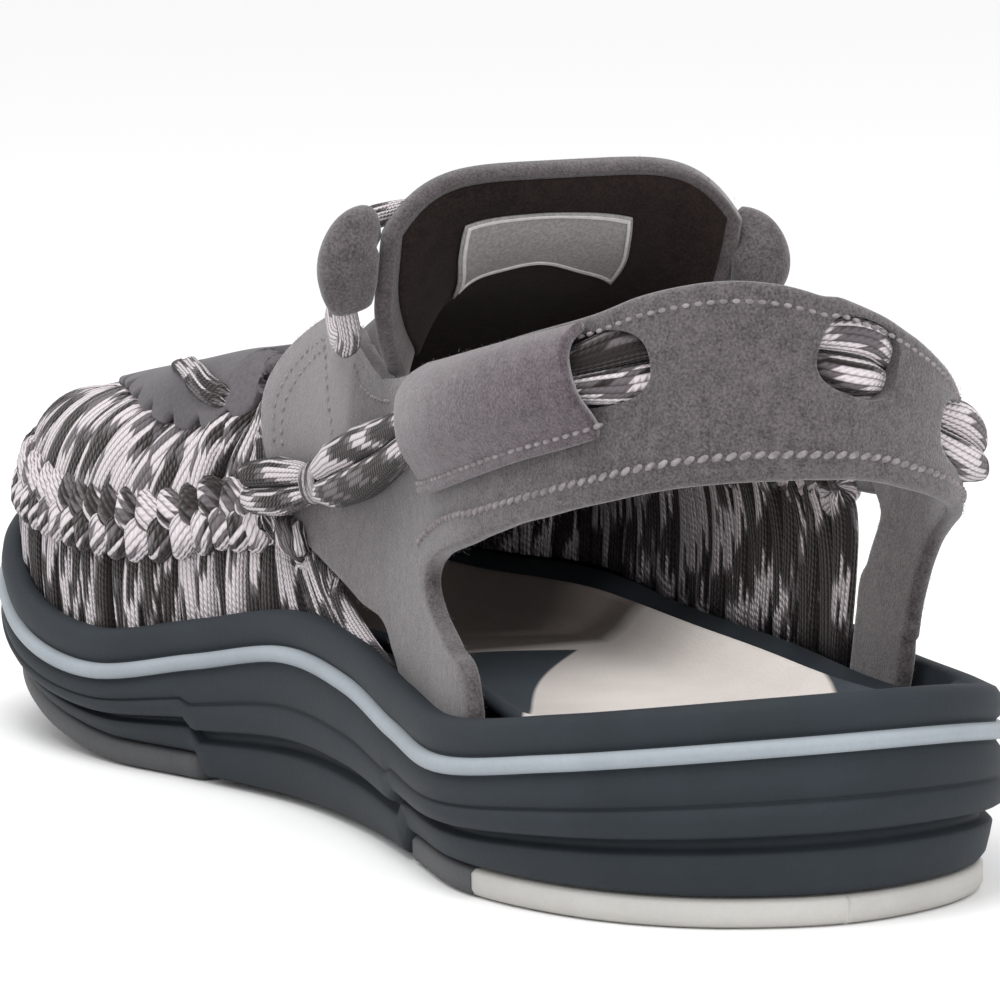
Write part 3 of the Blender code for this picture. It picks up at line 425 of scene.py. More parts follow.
# %% Foam and rubber finishes
def moulded(name, colour, shade, roughness, grain=0.00006):
    """Two tones mottled by coarse noise, roughness varied by the same noise, a fine grain bump."""
    finish = Finish(name, Specular_IOR_Level=0.22)
    place = finish.place()
    mottle = finish.noise(place, 60.0, 4.0)
    finish.dye(mottle * 0.8 + finish.noise(place, 1400.0) * 0.2, (0.32, shade), (0.68, colour))
    finish.feed("Roughness", roughness + (mottle - 0.5) * 0.25)
    finish.bump(finish.noise(place, 900.0, 3.0), grain)
    return finish.material


slate_foam = moulded("slate_foam", (42, 48, 54), (33, 39, 44), 0.68)
stripe_foam = moulded("stripe_foam", (152, 160, 166), (138, 146, 152), 0.50)
dark_rubber = moulded("tread_dark", (84, 84, 86), (68, 69, 71), 0.60)
light_rubber = moulded("tread_light", (190, 188, 184), (176, 174, 170), 0.60)

# %% [markdown]
# ## The midsole
#
# A foam unit is moulded in one piece. Its profile is carried round the outline: up from the base,
# past a deep groove and a band, over the pale stripe, over the lip, and down into the cup. Heights
# are measured from the rim down and from the base up, so every line follows the wave of the rim,
# and the groove's lines come together where the side is low.

# %% Stations round the sole
HALF_STATIONS = 150
even = np.linspace(0, 1, HALF_STATIONS)
spaced = (1 - np.cos(even * np.pi)) / 2 * 0.75 + even * 0.25  # closer together at heel and toe
SOLE_LENGTHS = np.concatenate([spaced, spaced[-2:0:-1]])
SOLE_SIDES = np.repeat((1, -1), (HALF_STATIONS, HALF_STATIONS - 2))
STRIPE_FOOT = 0.0088
BASE = 0.0048
ARCH_START, ARCH_END = 0.0881 / LENGTH, 0.1762 / LENGTH

# below the stripe: share of the way down to the base in thousandths, inset in tenths of a millimetre
SIDE_LINES = (
    (1000, 52), (985, 40), (930, 32), (800, 26), (690, 22), (665, 26), (648, 40), (620, 44), (585, 42),
    (560, 34), (545, 16), (520, 8), (420, 3), (330, 2), (310, 9), (295, 9), (275, 3), (150, 4), (50, 8), (0, 14),
)
# the stripe and the lip: drop below the rim and inset, both in tenths of a millimetre
LIP_LINES = (
    (85, 15), (84, 5), (78, 0), (71, -2), (64, 0), (59, 5), (58, 15), (54, 14), (50, 9), (32, 5), (14, 8),
    (5, 14), (0, 24), (0, 38),
)
STRIPE_ROWS = (20, 25)


def sole_ring(inset, height):
    """One line round the sole at an inset and heights given for every station."""
    return np.concatenate([plan(SOLE_LENGTHS, SOLE_SIDES, inset), height[:, None]], 1)


rim = rim_height(SOLE_LENGTHS, SOLE_SIDES)
bed = bed_height(SOLE_LENGTHS)
starts, ends = (ease(SOLE_LENGTHS, place - 0.002, place + 0.002) for place in (ARCH_START, ARCH_END))
base = tread_height(SOLE_LENGTHS) + BASE + starts * (1 - ends) * (0.001 - BASE)
foot = rim - STRIPE_FOOT
lines = [sole_ring(inset / 1e4, foot - share / 1e3 * (foot - base)) for share, inset in SIDE_LINES]
lines += [sole_ring(inset / 1e4, rim - drop / 1e4) for drop, inset in LIP_LINES]
grooved = ease(SOLE_LENGTHS, 0.13, 0.16)
groove_floor = rim - 0.0006 - grooved * 0.0064
shoulder = bed + 0.70 * (rim - bed)
inner_floor = shoulder + grooved * (np.minimum(groove_floor, shoulder - 0.0004) - shoulder)
lines += [sole_ring(inset, height) for inset, height in (
    (LIP, rim - 0.0004), (LIP + CLEAR, groove_floor), (LIP + GROOVE, inner_floor - 0.0002),
    (LIP + GROOVE + CLEAR, shoulder), (0.0130, bed + 0.50 * (rim - bed)),
    (0.0180, bed + 0.18 * (rim - bed)), (0.0230, bed),
)]
print("midsole lines:", len(lines), "stations:", len(rim))


# %% Close the sole's floor and its underside
def rungs(start, count):
    """Faces across a closed line from the inner side to the outer side at equal lengths."""
    inner = np.arange(count // 2 + 1)
    outer = (count - inner) % count
    return [[start + int(v) for v in dict.fromkeys(face)] for face in zip(inner, inner[1:], outer[1:], outer)]


def sole_mesh(name, lines, finish, node):
    """Lines round the sole as one closed piece."""
    count = len(SOLE_LENGTHS)
    caps = rungs(0, count) + rungs((len(lines) - 1) * count, count)
    return put_mesh(name, np.stack(lines), tube_faces(len(lines), count), finish, [node], caps=caps)


unit_piece = sole_mesh("midsole_foam_unit", lines, slate_foam, "midsole")
unit_piece.data.materials.append(stripe_foam)
rows = np.arange(len(unit_piece.data.polygons)) // len(rim)
in_stripe = (rows >= STRIPE_ROWS[0]) & (rows <= STRIPE_ROWS[1])
unit_piece.data.polygons.foreach_set("material_index", in_stripe.astype(np.int32))

# %% [markdown]
# ## The tread
#
# Three rubber plates are glued under the foam: a light one at the heel, a dark one before it, and
# a dark one under the forefoot. Each is the outline again, inset a little, with channels across
# it. The plate's underside rises into each channel by a smooth step.

# %% Tread plates
PLATE_INSET, PLATE_THICK, CHANNEL_DEPTH = 0.0036, 0.0045, 0.0022
CHANNEL_INNER, CHANNEL_OUTER = 0.0013, 0.0021
# share of the thickness, inset in tenths of a millimetre, whether channels cut it
PLATE_LINES = (
    (0.0, 110, 1), (0.0, 80, 0), (0.0, 30, 0), (0.0, 18, 0), (0.12, 6, 0), (0.30, 1, 0), (0.85, 1, 0), (1.0, 8, 0),
)


def tread_plate(name, first, last, channels, finish, node):
    """Rings across the plate from first to last: profile down one side and up the other."""
    even = np.linspace(0, 1, 90)
    even = even**2 if first == 0 else 1 - (1 - even) ** 2 if last == LENGTH else even
    extra = [c + sign * d for c in channels for sign in (-1, 1) for d in (CHANNEL_INNER, 0.0016, CHANNEL_OUTER)]
    at = np.unique(np.concatenate([first + (last - first) * even, extra]))
    let_in = sum(ease(np.abs(at - c), CHANNEL_OUTER, CHANNEL_INNER) for c in channels) * CHANNEL_DEPTH
    length = at / LENGTH
    tread = tread_height(length)
    ring = []
    for sign in (1, -1):
        for share, inset, cut_in in PLATE_LINES[::sign]:
            height = tread + let_in * cut_in + share * PLATE_THICK
            flat = plan(length, sign, PLATE_INSET + inset / 1e4)
            ring.append(np.concatenate([flat, height[:, None]], 1))
    n, around = len(at), len(ring)
    caps = [
        [start + k, start + k + 1, start + around - 2 - k, start + around - 1 - k]
        for start in (0, (n - 1) * around) for k in range(around // 2 - 1)
    ]
    put_mesh(name, np.stack(ring, 1), tube_faces(n, around), finish, [node], caps=caps)
    print(name, n, "rings")


tread_plate("heel_tread", 0.0, 0.053, (0.0205, 0.0350), light_rubber, "outsole_heel")
tread_plate("heel_front_tread", 0.0533, 0.0863, (0.0698,), dark_rubber, "outsole_heel_front")
FOREFOOT_CHANNELS = (0.206, 0.224, 0.246, 0.265)
tread_plate("forefoot_tread", 0.178, LENGTH, FOREFOOT_CHANNELS, dark_rubber, "outsole_forefoot")

# %% [markdown]
# ## The footbed
#
# A thin lining lies in the cup. Its middle is pale felt and its raised sides are dark foam, with a
# wavy border between them. Ahead of the heel the felt turns brown: a painted shadow of the strap
# and the cage. The border is a mask on Object coordinates: a straight line on each side of the
# foot, bowed by a sine, so no second mesh is needed.

# %% Footbed finish and piece
SHARP = 1400.0
felted = Finish("footbed_felt", Roughness=0.9, Specular_IOR_Level=0.2)
place = felted.place()
x, y = felted.axes(place)[:2]
speck = felted.noise(place, 2500.0)
mix = felted.noise(place, 45.0, 3.0) * 0.7 + speck * 0.3
felt = felted.ramp(mix, (0.30, (212, 204, 199)), (0.70, (231, 224, 219)))
foam = felted.ramp(mix, (0.30, (60, 66, 72)), (0.70, (70, 77, 84)))
# painted shadow: a brown for the felt where the strap and the cage shade it
shade = felted.ramp(mix, (0.30, (112, 103, 98)), (0.70, (128, 118, 112)))
over = (y + x * 0.595 + 0.017 + (x * 60.0 + 0.6).sine() * 0.0022) * SHARP
before = (y * 0.25 - x - 0.004 + (y * 160.0 + 1.2).sine() * 0.0022) * SHARP
lobe = over.maths("MINIMUM", over, before, clamp=True)
edge = lobe.maths("MAXIMUM", lobe, (-0.045 - x * 0.30 - y).mask(SHARP))
# ahead of 4 mm behind the middle the felt fades into the painted shadow
felted.feed("Base Color", felted.blend(edge, felted.blend((x + 0.004).mask(120.0), felt, shade), foam))
felted.bump(speck, 0.00012)

lift = 0.0008
slope = (0.0230 - 0.0150) / (0.0230 - LIP - GROOVE - CLEAR)
side_top = bed + slope * 0.70 * (rim - bed) + 2 * lift
bed_lines = [sole_ring(inset, height) for inset, height in (
    (0.0230, bed + lift), (0.0150, side_top), (0.0152, side_top + 0.0010), (0.0160, side_top + 0.0018),
    (0.0172, side_top + 0.0012), (0.0200, bed + (side_top - bed) * 0.42 + 0.0022),
    (0.0230, bed + lift + 0.0025),
)]
sole_mesh("footbed_lining", bed_lines, felted.material, "footbed")
print("footbed lines:", len(bed_lines))

# %% [markdown]
# ## Suede
#
# Suede is leather with its fibres brushed up. It scatters light at its edges, so the shader gets
# sheen, and its colour wanders where the nap lies one way or the other. Three noises do it: broad
# clouds for the hand-marks, a finer one for the nap, and a very fine one for the fibres.

# %% Suede finishes
def suede(name, light, dark, nap=0.00022, upper_pale=None, sheen=0.35):
    """Clouds, nap and fibres mixed into one factor between two tones; nap and fibres are the bump
    too. A paler colour is blended half way in on the upper front of the strap's inner arm."""
    finish = Finish(name, Roughness=0.95, Specular_IOR_Level=0.15, Sheen_Weight=sheen, Sheen_Roughness=0.5)
    place = finish.place()
    cloud = finish.noise(place, 38.0, 3.0)
    brushed = finish.noise(place, 420.0, 4.0, 0.6)
    fibre = finish.noise(place, 2300.0, 3.0, 0.7)
    factor = (cloud - 0.5) * 0.25 + (brushed - 0.5) * 0.45 + (fibre - 0.5) * 1.2 + 0.5
    colour = finish.ramp(factor, (0.30, dark), (0.70, light))
    if upper_pale:
        x, y, z = finish.axes(place)
        # paler towards the top: on the inner side, ahead of 20 mm behind the middle and above 54 mm
        upper_front_mask = (x + 0.020).mask(260.0) * y.mask(260.0) * (z - 0.054).mask(260.0)
        colour = finish.blend(upper_front_mask * 0.5, colour, tint(*upper_pale))
    finish.feed("Base Color", colour)
    finish.bump(fibre * 0.6 + brushed * 0.4, nap)
    return finish.material


strap_suede = suede("strap_suede", (101, 95, 97), (58, 54, 56), upper_pale=(132, 125, 128))
flap_suede = suede("flap_suede", (103, 93, 98), (61, 53, 58))
panel_suede = suede("panel_suede", (101, 95, 97), (60, 56, 58))
thread = Finish("thread", Roughness=0.8, Specular_IOR_Level=0.3)
thread.dye(thread.noise(thread.place(), 900.0), (0.35, (112, 106, 108)), (0.65, (144, 137, 139)))

# %% [markdown]
# ## The heel strap
#
# One piece of suede runs from the foot of the inner arm, up and round the heel, to the foot of the
# outer arm. It is a ribbon on the last: a table gives pairs of edge points, a cubic through them
# gives its edges, and points between them lie on the last's side. Lengths are negative on the
# outer side, so the ribbon passes the heel without a break.

# %% The strap's edges
# front edge's length and height, rear edge's length and height
STRAP = np.array([
    (335, 0, 200, 0), (364, 337, 203, 328), (424, 397, 236, 389), (479, 446, 272, 428), (520, 502, 290, 469),
    (545, 604, 284, 508), (555, 705, 262, 538), (542, 777, 240, 555), (515, 834, 222, 568),
    (485, 863, 205, 580), (447, 839, 186, 596), (414, 789, 166, 612), (369, 790, 148, 628),
    (281, 839, 125, 646), (193, 883, 100, 669), (130, 924, 78, 687), (85, 957, 56, 704), (55, 990, 38, 716),
    (34, 1008, 25, 722), (18, 1016, 14, 726), (8, 1012, 6, 727), (2, 999, 1.5, 727), (-2, 973, -1.5, 722),
    (-8, 948, -7, 712), (-18, 912, -16, 695), (-36, 865, -34, 671), (-65, 810, -62, 641), (-105, 774, -88, 615),
    (-150, 757, -112, 592), (-195, 745, -135, 560), (-218, 705, -150, 515), (-204, 640, -159, 470),
    (-192, 575, -165, 430), (-208, 490, -170, 385), (-224, 400, -175, 345), (-236, 0, -184, 0),
]) / 1000
STRAP_THICK = 0.0028
FOOT_DEPTH = 0.0067


def between(edges, share):
    """A length and a height by share of the way from the first edge to the second."""
    length, height, other_length, other_height = edges
    return length + share * (other_length - length), height + share * (other_height - height)


def strap_edges(at):
    """Lengths and heights of both edges at a row number of the table. In the first and the last
    row's reach the height runs straight down into the sole's groove."""
    edges = columns(at, STRAP)
    for low, length in ((1, 0), (3, 2)):
        floor = rim_height(np.abs(edges[length]), np.where(edges[length] >= 0, 1, -1)) - FOOT_DEPTH
        edges[low] = edges[low] * COLLAR
        for row, way in ((1, at), (-2, len(STRAP) - 1 - at)):
            edges[low] = np.where(way < 1, floor + (STRAP[row, low] * COLLAR - floor) * way, edges[low])
    return edges


def strap_point(at, share, out=0.0):
    """A point between the strap's front edge (share 0) and rear edge (share 1) on the last."""
    length, height = between(strap_edges(at), share)
    return wall(np.abs(length), np.where(length >= 0, 1, -1), height, out)


strap_grid = strap_point(*net(np.linspace(0, len(STRAP) - 1, 420), np.linspace(0, 1, 22)))
strap = slab("heel_strap_suede", strap_grid, STRAP_THICK, strap_suede, ["heel_strap"])
print("strap mesh points:", len(strap.data.vertices))

# %% Cut the openings for the heel cord
# side, length, height of the middle, reach along the strap, half height, slope in degrees
SLOTS = (
    (1, 0.0845, 0.884, 0.0215, 0.0056, 10.0), (-1, 0.0022, 0.902, 0.0150, 0.0058, -20.0),
    (-1, 0.066, 0.737, 0.0235, 0.0052, -20.0),
)
CUT_DEPTH = 0.009
CORNERS = 40


def rounded(values, power):
    """Values of a sine or cosine pushed outwards, which makes a superellipse of a circle."""
    return np.sign(values) * np.abs(values) ** power


def slot_cutter(side, length, height, reach, half, slope):
    """A block with rounded ends, standing square to the strap."""
    middle = wall(length, side, height * COLLAR) - MIDDLE
    out = unit((wall(length, side, height * COLLAR, 0.001) - MIDDLE - middle) * (1, 1, 0))
    tilt = np.radians(slope)
    wide = np.array([-out[1] * np.cos(tilt), out[0] * np.cos(tilt), np.sin(tilt)])
    turn = np.linspace(0, 2 * np.pi, CORNERS, endpoint=False)[:, None]
    ring = middle + rounded(np.cos(turn), 0.62) * reach / 2 * wide
    ring = ring + rounded(np.sin(turn), 0.75) * half * np.cross(out, wide)
    mesh = bpy.data.meshes.new("slot")
    faces = [(k, (k + 1) % CORNERS, CORNERS + (k + 1) % CORNERS, CORNERS + k) for k in range(CORNERS)]
    faces += [range(CORNERS - 1, -1, -1), range(CORNERS, 2 * CORNERS)]
    mesh.from_pydata(np.concatenate([ring - out * CUT_DEPTH, ring + out * CUT_DEPTH]).tolist(), [], faces)
    return add_object("slot", mesh)


for slot in SLOTS:
    cutter = slot_cutter(*slot)
    modifier = strap.modifiers.new("slot", "BOOLEAN")
    modifier.operation = "DIFFERENCE"
    modifier.object = cutter
    result = strap.evaluated_get(bpy.context.evaluated_depsgraph_get())
    whole = bpy.data.meshes.new_from_object(result)
    strap.modifiers.clear()
    strap.data = whole
    bpy.data.objects.remove(cutter)
print("strap after cutting:", len(strap.data.polygons), "faces")

# %% [markdown]
# ## The outer quarter and the flaps
#
# The outer quarter is a second suede piece, laid over the strap's outer end. The two flaps are
# tunnels: suede strips that arch over the heel cord and are sewn down below it. Their section is a
# flat seat, a rise, a flat top and a fall.

# %% Quarter panel
# upper edge's length and height, lower edge's length and height
PANEL = np.array([
    (203, 748, 206, 612), (240, 752, 245, 606), (290, 757, 300, 610), (350, 768, 360, 618),
    (400, 787, 410, 627), (440, 820, 450, 636), (480, 852, 485, 648), (515, 835, 510, 663),
    (540, 785, 530, 685), (550, 735, 545, 712),
]) / 1000
PANEL_THICK = 0.0024
PANEL_SEAT = (STRAP_THICK + PANEL_THICK) / 2 + CLEAR
at, share = net(np.linspace(0, len(PANEL) - 1, 120), np.linspace(0, 1, 16))
length, height = between(columns(at, PANEL), share)
panel_grid = wall(length, -1, height * COLLAR, PANEL_SEAT)
slab("outer_quarter_suede", panel_grid, PANEL_THICK, panel_suede, ["quarter_panel"])
print("quarter grid:", panel_grid.shape)

# %% Flaps
FLAP_THICK, FLAP_TALL, FLAP_SLANT = 0.0016, 0.0145, 0.012
CORD_SIZE = 0.0036
inner_top = STRAP[(STRAP[:, 0] > 0) & (STRAP[:, 0] < 0.42) & (STRAP[:, 1] > 0.75)][::-1]
# length and height of the cord's middle under the outer flap
OUTER_CORD = np.array([
    (205, 680), (235, 680), (280, 683), (340, 688), (400, 690), (460, 690),
]) / 1000
# share of the way down the flap, share of the tunnel's height
BULGE = np.array([
    (0, 0), (6, 50), (18, 95), (40, 110), (66, 85), (86, 28), (94, 12), (100, 20),
]) / 100


def flap_point(side, length, share, out=0.0):
    """Down from the top edge by share of the flap's height, pushed out by the tunnel's bulge."""
    if side > 0:
        top = smooth(length, inner_top[:, 0], inner_top[:, 1]) * COLLAR
        tall = FLAP_TALL + 0.0022 + 0.0022 * ease(length, 0.08, 0.26)
        base = (STRAP_THICK + FLAP_THICK) / 2 + CLEAR
    else:
        top = smooth(length, OUTER_CORD[:, 0], OUTER_CORD[:, 1]) * COLLAR + FLAP_TALL / 2
        tall = FLAP_TALL
        base = (STRAP_THICK + FLAP_THICK) / 2 + CLEAR + PANEL_THICK + CLEAR
    rise = smooth(share, BULGE[:, 0], BULGE[:, 1]) * (CORD_SIZE + 2 * CLEAR)
    return wall(length, side, top - share * tall, base + rise + out)


at, share = net(np.linspace(0, 1, 60), np.linspace(0, 1, 30))
for name, side, first, last, node in (
    ("inner_flap_suede", 1, 0.075, 0.265, "flap_medial"), ("outer_flap_suede", -1, 0.262, 0.400, "flap_lateral"),
):
    start = first + (FLAP_SLANT * (1 - share) if side > 0 else 0)
    flap_grid = flap_point(side, start + at * (last - start), share)
    slab(name, flap_grid, FLAP_THICK, flap_suede, [node])
    print(name, flap_grid.shape)

# %% [markdown]
# ## The tongue
#
# The tongue is a padded tab that stands up behind the vamp strip. Its middle line rises along the
# instep and its sides drop by a high power of the distance from the middle, so it is flat across
# and turns down at its edges.

# %% Tongue
# length, height, inner and outer half width, drop of the edges
TONGUE = np.array([
    (355, 998, 288, 304, 85), (360, 984, 287, 304, 110), (370, 948, 284, 304, 150), (382, 908, 262, 302, 170),
    (400, 872, 224, 300, 180), (425, 840, 198, 296, 160), (455, 808, 192, 292, 125), (486, 774, 192, 285, 95),
    (515, 735, 185, 255, 70), (545, 690, 178, 200, 50), (570, 656, 165, 145, 30), (600, 634, 140, 80, 10),
]) / 1000


def tongue_point(at, share):
    """Row at of the table, share from -1 (outer edge) to 1 (inner edge) across it."""
    length, height, inner, outer, drop = columns(at, TONGUE)
    y = ((inner - outer) / 2 + share * (inner + outer) / 2) * WIDTH
    z = (height - drop * np.abs(share) ** 5.0) * TONGUE_TOP
    return np.stack([length * LENGTH, y, z], -1)


# the lining's near-black browns are partly its own dark colour and partly painted shade of the tongue's inside
lining = suede("tongue_lining_dark_and_shaded", (42, 33, 31), (22, 16, 15), 0.0002, sheen=0.04)
tongue_suede = suede("tongue_suede", (94, 87, 89), (58, 53, 55))
at, share = net(np.linspace(0, len(TONGUE) - 1, 130), np.sin(np.linspace(-1, 1, 60) * np.pi / 2))
slab("tongue_shell", tongue_point(at, share), 0.0030, tongue_suede, ["tongue"])
at, share = net(np.linspace(0.62, len(TONGUE) - 1.2, 110), np.linspace(-0.945, 0.945, 50))
padding = 0.0013 + 0.0014 * (1 - share**6) * ease(at, 0.6, 1.6)
grid = tongue_point(at, share)
slab("tongue_lining_pad", grid - normals(grid) * padding[..., None], 0.0012, lining)
print("tongue pad grid:", grid.shape)

# %% [markdown]
# ## The vamp strip
#
# A strip of smooth leather lies over the toes. A table gives its middle line and half width, and
# small cosine bites, one for each loop of cord, cut that width back.

# %% Vamp strip
# length, middle, half width, height
STRIP = np.array([
    (565, 35, 170, 802), (600, 45, 178, 777), (640, 50, 172, 760), (680, 52, 168, 745), (740, 54, 160, 712),
    (800, 57, 145, 674), (845, 60, 110, 645), (868, 60, 70, 631), (878, 60, 30, 624),
]) / 1000


def strip_point(length, share):
    """Middle line plus share of the half width, which each bite cuts back by up to 1.6 mm."""
    middle, half, height = columns(length, STRIP[:, 1:], STRIP[:, 0])
    beat = np.clip(np.cos((length - 0.565) * 2 * np.pi / 0.033), 0, 1) ** 3
    y = middle * WIDTH + share * (half * WIDTH - 0.0016 * beat)
    z = height * INSTEP - 0.0022 * share**2 * (half / 0.178) ** 2
    return np.stack([length * LENGTH, y, z - 0.0002], -1)


leather = Finish("strip_leather", Specular_IOR_Level=0.4)
place = leather.place()
pores = leather.noise(place, 1500.0, 3.0)
gloss = leather.noise(place, 70.0, 3.0)
leather.dye(gloss * 0.6 + pores * 0.4, (0.35, (66, 63, 67)), (0.65, (92, 88, 92)))
leather.feed("Roughness", 0.42 + gloss * 0.2)
leather.bump(pores, 0.00008)
print("strip rows:", len(STRIP))

# %% [markdown]
# ## Cord
#
# The cage is made of flat braided cord, dyed in spaces: each yarn changes from pale to grey to
# near black along its length, and neighbouring yarns change at slightly different places, which
# gives ragged blocks. The UV map runs along each cord in metres and once round it. The yarn's
# number shifts a noise that is read along the cord.

# %% Cord finish
# the last colour is a dark brown, used for painted shade between the yarns and for random darker mottle
PALE, GREY, UMBER, SHADE_AND_MOTTLE = (222, 213, 217), (104, 97, 101), (40, 33, 33), (52, 44, 44)
SOFT = 0.008


def space_dyed(name, cuts, yarns=18.0, block=80.0):
    """Noise along the cord, shifted for every yarn and slanted within it, cut into three tones."""
    finish = Finish(name, Roughness=0.85, Specular_IOR_Level=0.2, Sheen_Weight=0.15)
    uv = finish.place("UV")
    u, v = finish.axes(uv)[:2]
    turned = v * yarns
    yarn = turned.maths("FLOOR", turned)
    inside = turned - yarn
    seed = finish.node("ShaderNodeCombineXYZ", {}, yarn, 3.7, 0.0)
    jitter = finish.node("ShaderNodeTexWhiteNoise", {"noise_dimensions": "2D"}, Vector=seed)
    read = finish.node("ShaderNodeCombineXYZ", {}, u * block + jitter * 0.75 + inside * 0.12, yarn * 0.05, 0.0)
    tone = finish.noise(read, 1.0, 0.0, noise_dimensions="2D")
    (low, high), s = cuts, SOFT
    dye = finish.ramp(tone, (low - s, UMBER), (low + s, GREY), (high - s, GREY), (high + s, PALE))
    twist = (u * 5600.0 + inside * 5.0 + yarn * 1.9).sine()
    rib = (inside * 3.14159265).sine()
    # painted shade: darker in the grooves between yarns and a little in the twist's troughs, plus fine random
    # mottle
    groove_shade_and_mottle = (0.5 - rib).mask(1.3) + (1 - twist) * 0.05 + finish.noise(uv, 700.0) * 0.12
    finish.feed("Base Color", finish.blend(groove_shade_and_mottle, dye, tint(*SHADE_AND_MOTTLE)))
    finish.bump(rib * 0.75 + twist * 0.25, 0.00045)
    return finish.material


lower_finish = space_dyed("lower_cord_dye", (0.53, 0.58))
upper_finish = space_dyed("upper_cord_dye", (0.42, 0.54))
braid_finish = space_dyed("braid_cord_dye", (0.40, 0.52))
heel_finish = space_dyed("heel_cord_dye", (0.38, 0.51), yarns=20.0, block=75.0)
print("cord finishes ready")

# %% [markdown]
# ## The shape of a cord
#
# A cord here is a flattened ring carried along a path. Many cords are worked out at once: their
# middles are an array of cords by stations, and the ring adds one more axis. The ring is a
# superellipse, so the cord has a flat face and round sides, and it narrows towards its ends.

# %% Many cords at once
RNG = np.random.default_rng(7)


def cords(name, middle, wide, thick, out, finish, replaces=(), around=12, blunt=False, slot="woven_cord"):
    """middle: cords x stations x 3; wide and thick: cords x stations; out: the outward normals. A
    blunt cord narrows only at its far end."""
    number, steps = middle.shape[:2]
    along = unit(np.gradient(middle, axis=1))
    sideways = unit(np.cross(out, along))
    upright = np.cross(along, sideways)
    angle = np.linspace(0, 2 * np.pi, around, endpoint=False)
    from_end = np.minimum(np.arange(steps), np.arange(steps)[::-1])
    taper = np.sqrt(np.clip(from_end / 2.0, 0.02, 1))
    if blunt:
        taper[: steps // 2] = 1
    ring = middle[:, :, None]
    for size, wave, way in ((wide, np.cos(angle), sideways), (thick, np.sin(angle), upright)):
        ring = ring + (size * taper / 2)[:, :, None, None] * rounded(wave, 0.8)[:, None] * way[:, :, None]
    walk = walked(middle) + RNG.uniform(0, 3, number)[:, None]
    starts = np.arange(number) * steps * around
    quads = (tube_faces(steps, around) + starts[:, None, None]).reshape(-1, 4)
    k = np.arange(around)
    u = np.stack([walk[:, :-1], walk[:, 1:], walk[:, 1:], walk[:, :-1]], -1)[:, :, None]
    v = np.stack([k, k, k + 1, k + 1], -1) / around
    uv = np.stack(np.broadcast_arrays(u, v), -1).reshape(-1, 2)
    last = starts + (steps - 1) * around
    caps = (starts[:, None] + k[::-1]).tolist() + (last[:, None] + k).tolist()
    return put_mesh(name, ring, quads, finish, replaces, uv, caps)


def one_cord(name, middle, wide, thick, out, finish, replaces=(), **options):
    """A single cord; its sizes and its outward direction may be constant."""
    wide, thick = (np.broadcast_to(size, (1, len(middle))) for size in (wide, thick))
    out = np.broadcast_to(out, middle.shape)[None]
    return cords(name, middle[None], wide, thick, out, finish, replaces, **options)


# %% [markdown]
# ## The cage
#
# The forefoot is worked from one long cord. Loops stand up from the sole's groove, a braid runs
# round the foot half way up, and more loops go from the braid up to the vamp strip. A table of
# guide lines says where each loop starts and ends. The way between is a straight line at the arm
# and an arch elsewhere: the share of the way in is 1 - cos^p and the share of the way up is sin^p.

# %% Guide lines of the cage
# turn, way along the inner side and back along the outer one, arch, top's length, side and height
CAGE = np.array([
    (0, 357, 0, 536, 232, 476), (60, 428, 0, 558, 238, 552), (115, 480, 0, 568, 244, 638),
    (165, 530, 200, 574, 232, 715), (220, 592, 1000, 602, 190, 742), (290, 690, 1000, 680, 180, 704),
    (370, 800, 1000, 770, 170, 657), (440, 905, 1000, 832, 140, 617), (490, 975, 1000, 860, 98, 597),
    (520, 1002, 1000, 866, 60, 593), (550, 1025, 1000, 858, 22, 597), (610, 1095, 1000, 826, -25, 619),
    (690, 1200, 1000, 765, -60, 659), (760, 1300, 1000, 680, -75, 706), (820, 1380, 1000, 610, -100, 737),
    (860, 1435, 1000, 582, -190, 742), (890, 1475, 1000, 572, -285, 715), (915, 1520, 1000, 540, -330, 680),
    (940, 1570, 1000, 465, -335, 660), (970, 1655, 1000, 350, -317, 653), (1000, 1748, 1000, 244, -300, 648),
]) / 1000
ARCH_POWER = 0.66
FOOT_INSET, CAGE_DEPTH = LIP + 0.0018, 0.0055


def cage_point(turn, rise):
    """Foot in the groove plus the arched share of the way to the top edge."""
    turn, rise = np.broadcast_arrays(np.asarray(turn, float), np.asarray(rise, float))
    way, arch, *top = columns(turn, CAGE[:, 1:], CAGE[:, 0])
    side = np.where(way <= 1, 1, -1)
    length = np.clip(np.where(way <= 1, way, 2 - way), 0, 1)
    foot = plan(length, side, FOOT_INSET)
    foot = np.concatenate([foot, (rim_height(length, side) - CAGE_DEPTH)[..., None]], -1)
    angle = np.clip(rise, 0, 1) * np.pi / 2
    arch = np.clip(arch, 0, 1)
    inwards = rise + arch * (1 - np.cos(angle) ** ARCH_POWER - rise)
    upwards = rise + arch * (np.sin(angle) ** ARCH_POWER - rise)
    top = np.stack(top, -1) * (LENGTH, WIDTH, INSTEP)
    return foot + (top - foot) * np.stack([inwards, inwards, upwards], -1)


def cage_normal(turn, rise, step=0.003):
    """Outward unit normal from two small steps on the cage."""
    along = cage_point(np.clip(turn + step, 0, 1), rise) - cage_point(np.clip(turn - step, 0, 1), rise)
    up = cage_point(turn, np.clip(rise + step, 0, 1)) - cage_point(turn, np.clip(rise - step, 0, 1))
    out = unit(np.cross(up, along))
    sign = np.sign((out * (cage_point(turn, rise) - MIDDLE))[..., :2].sum(-1))
    return out * np.where(sign == 0, 1, sign)[..., None]


# turn, rise of the braid's middle
BRAID = np.array([
    (0, 850), (60, 760), (115, 640), (163, 480), (190, 320), (220, 225), (250, 205), (300, 230), (370, 260),
    (440, 270), (520, 270), (620, 270), (700, 260), (760, 250), (820, 260), (860, 320), (890, 430), (915, 500),
    (940, 550), (970, 580), (1000, 600),
]) / 1000
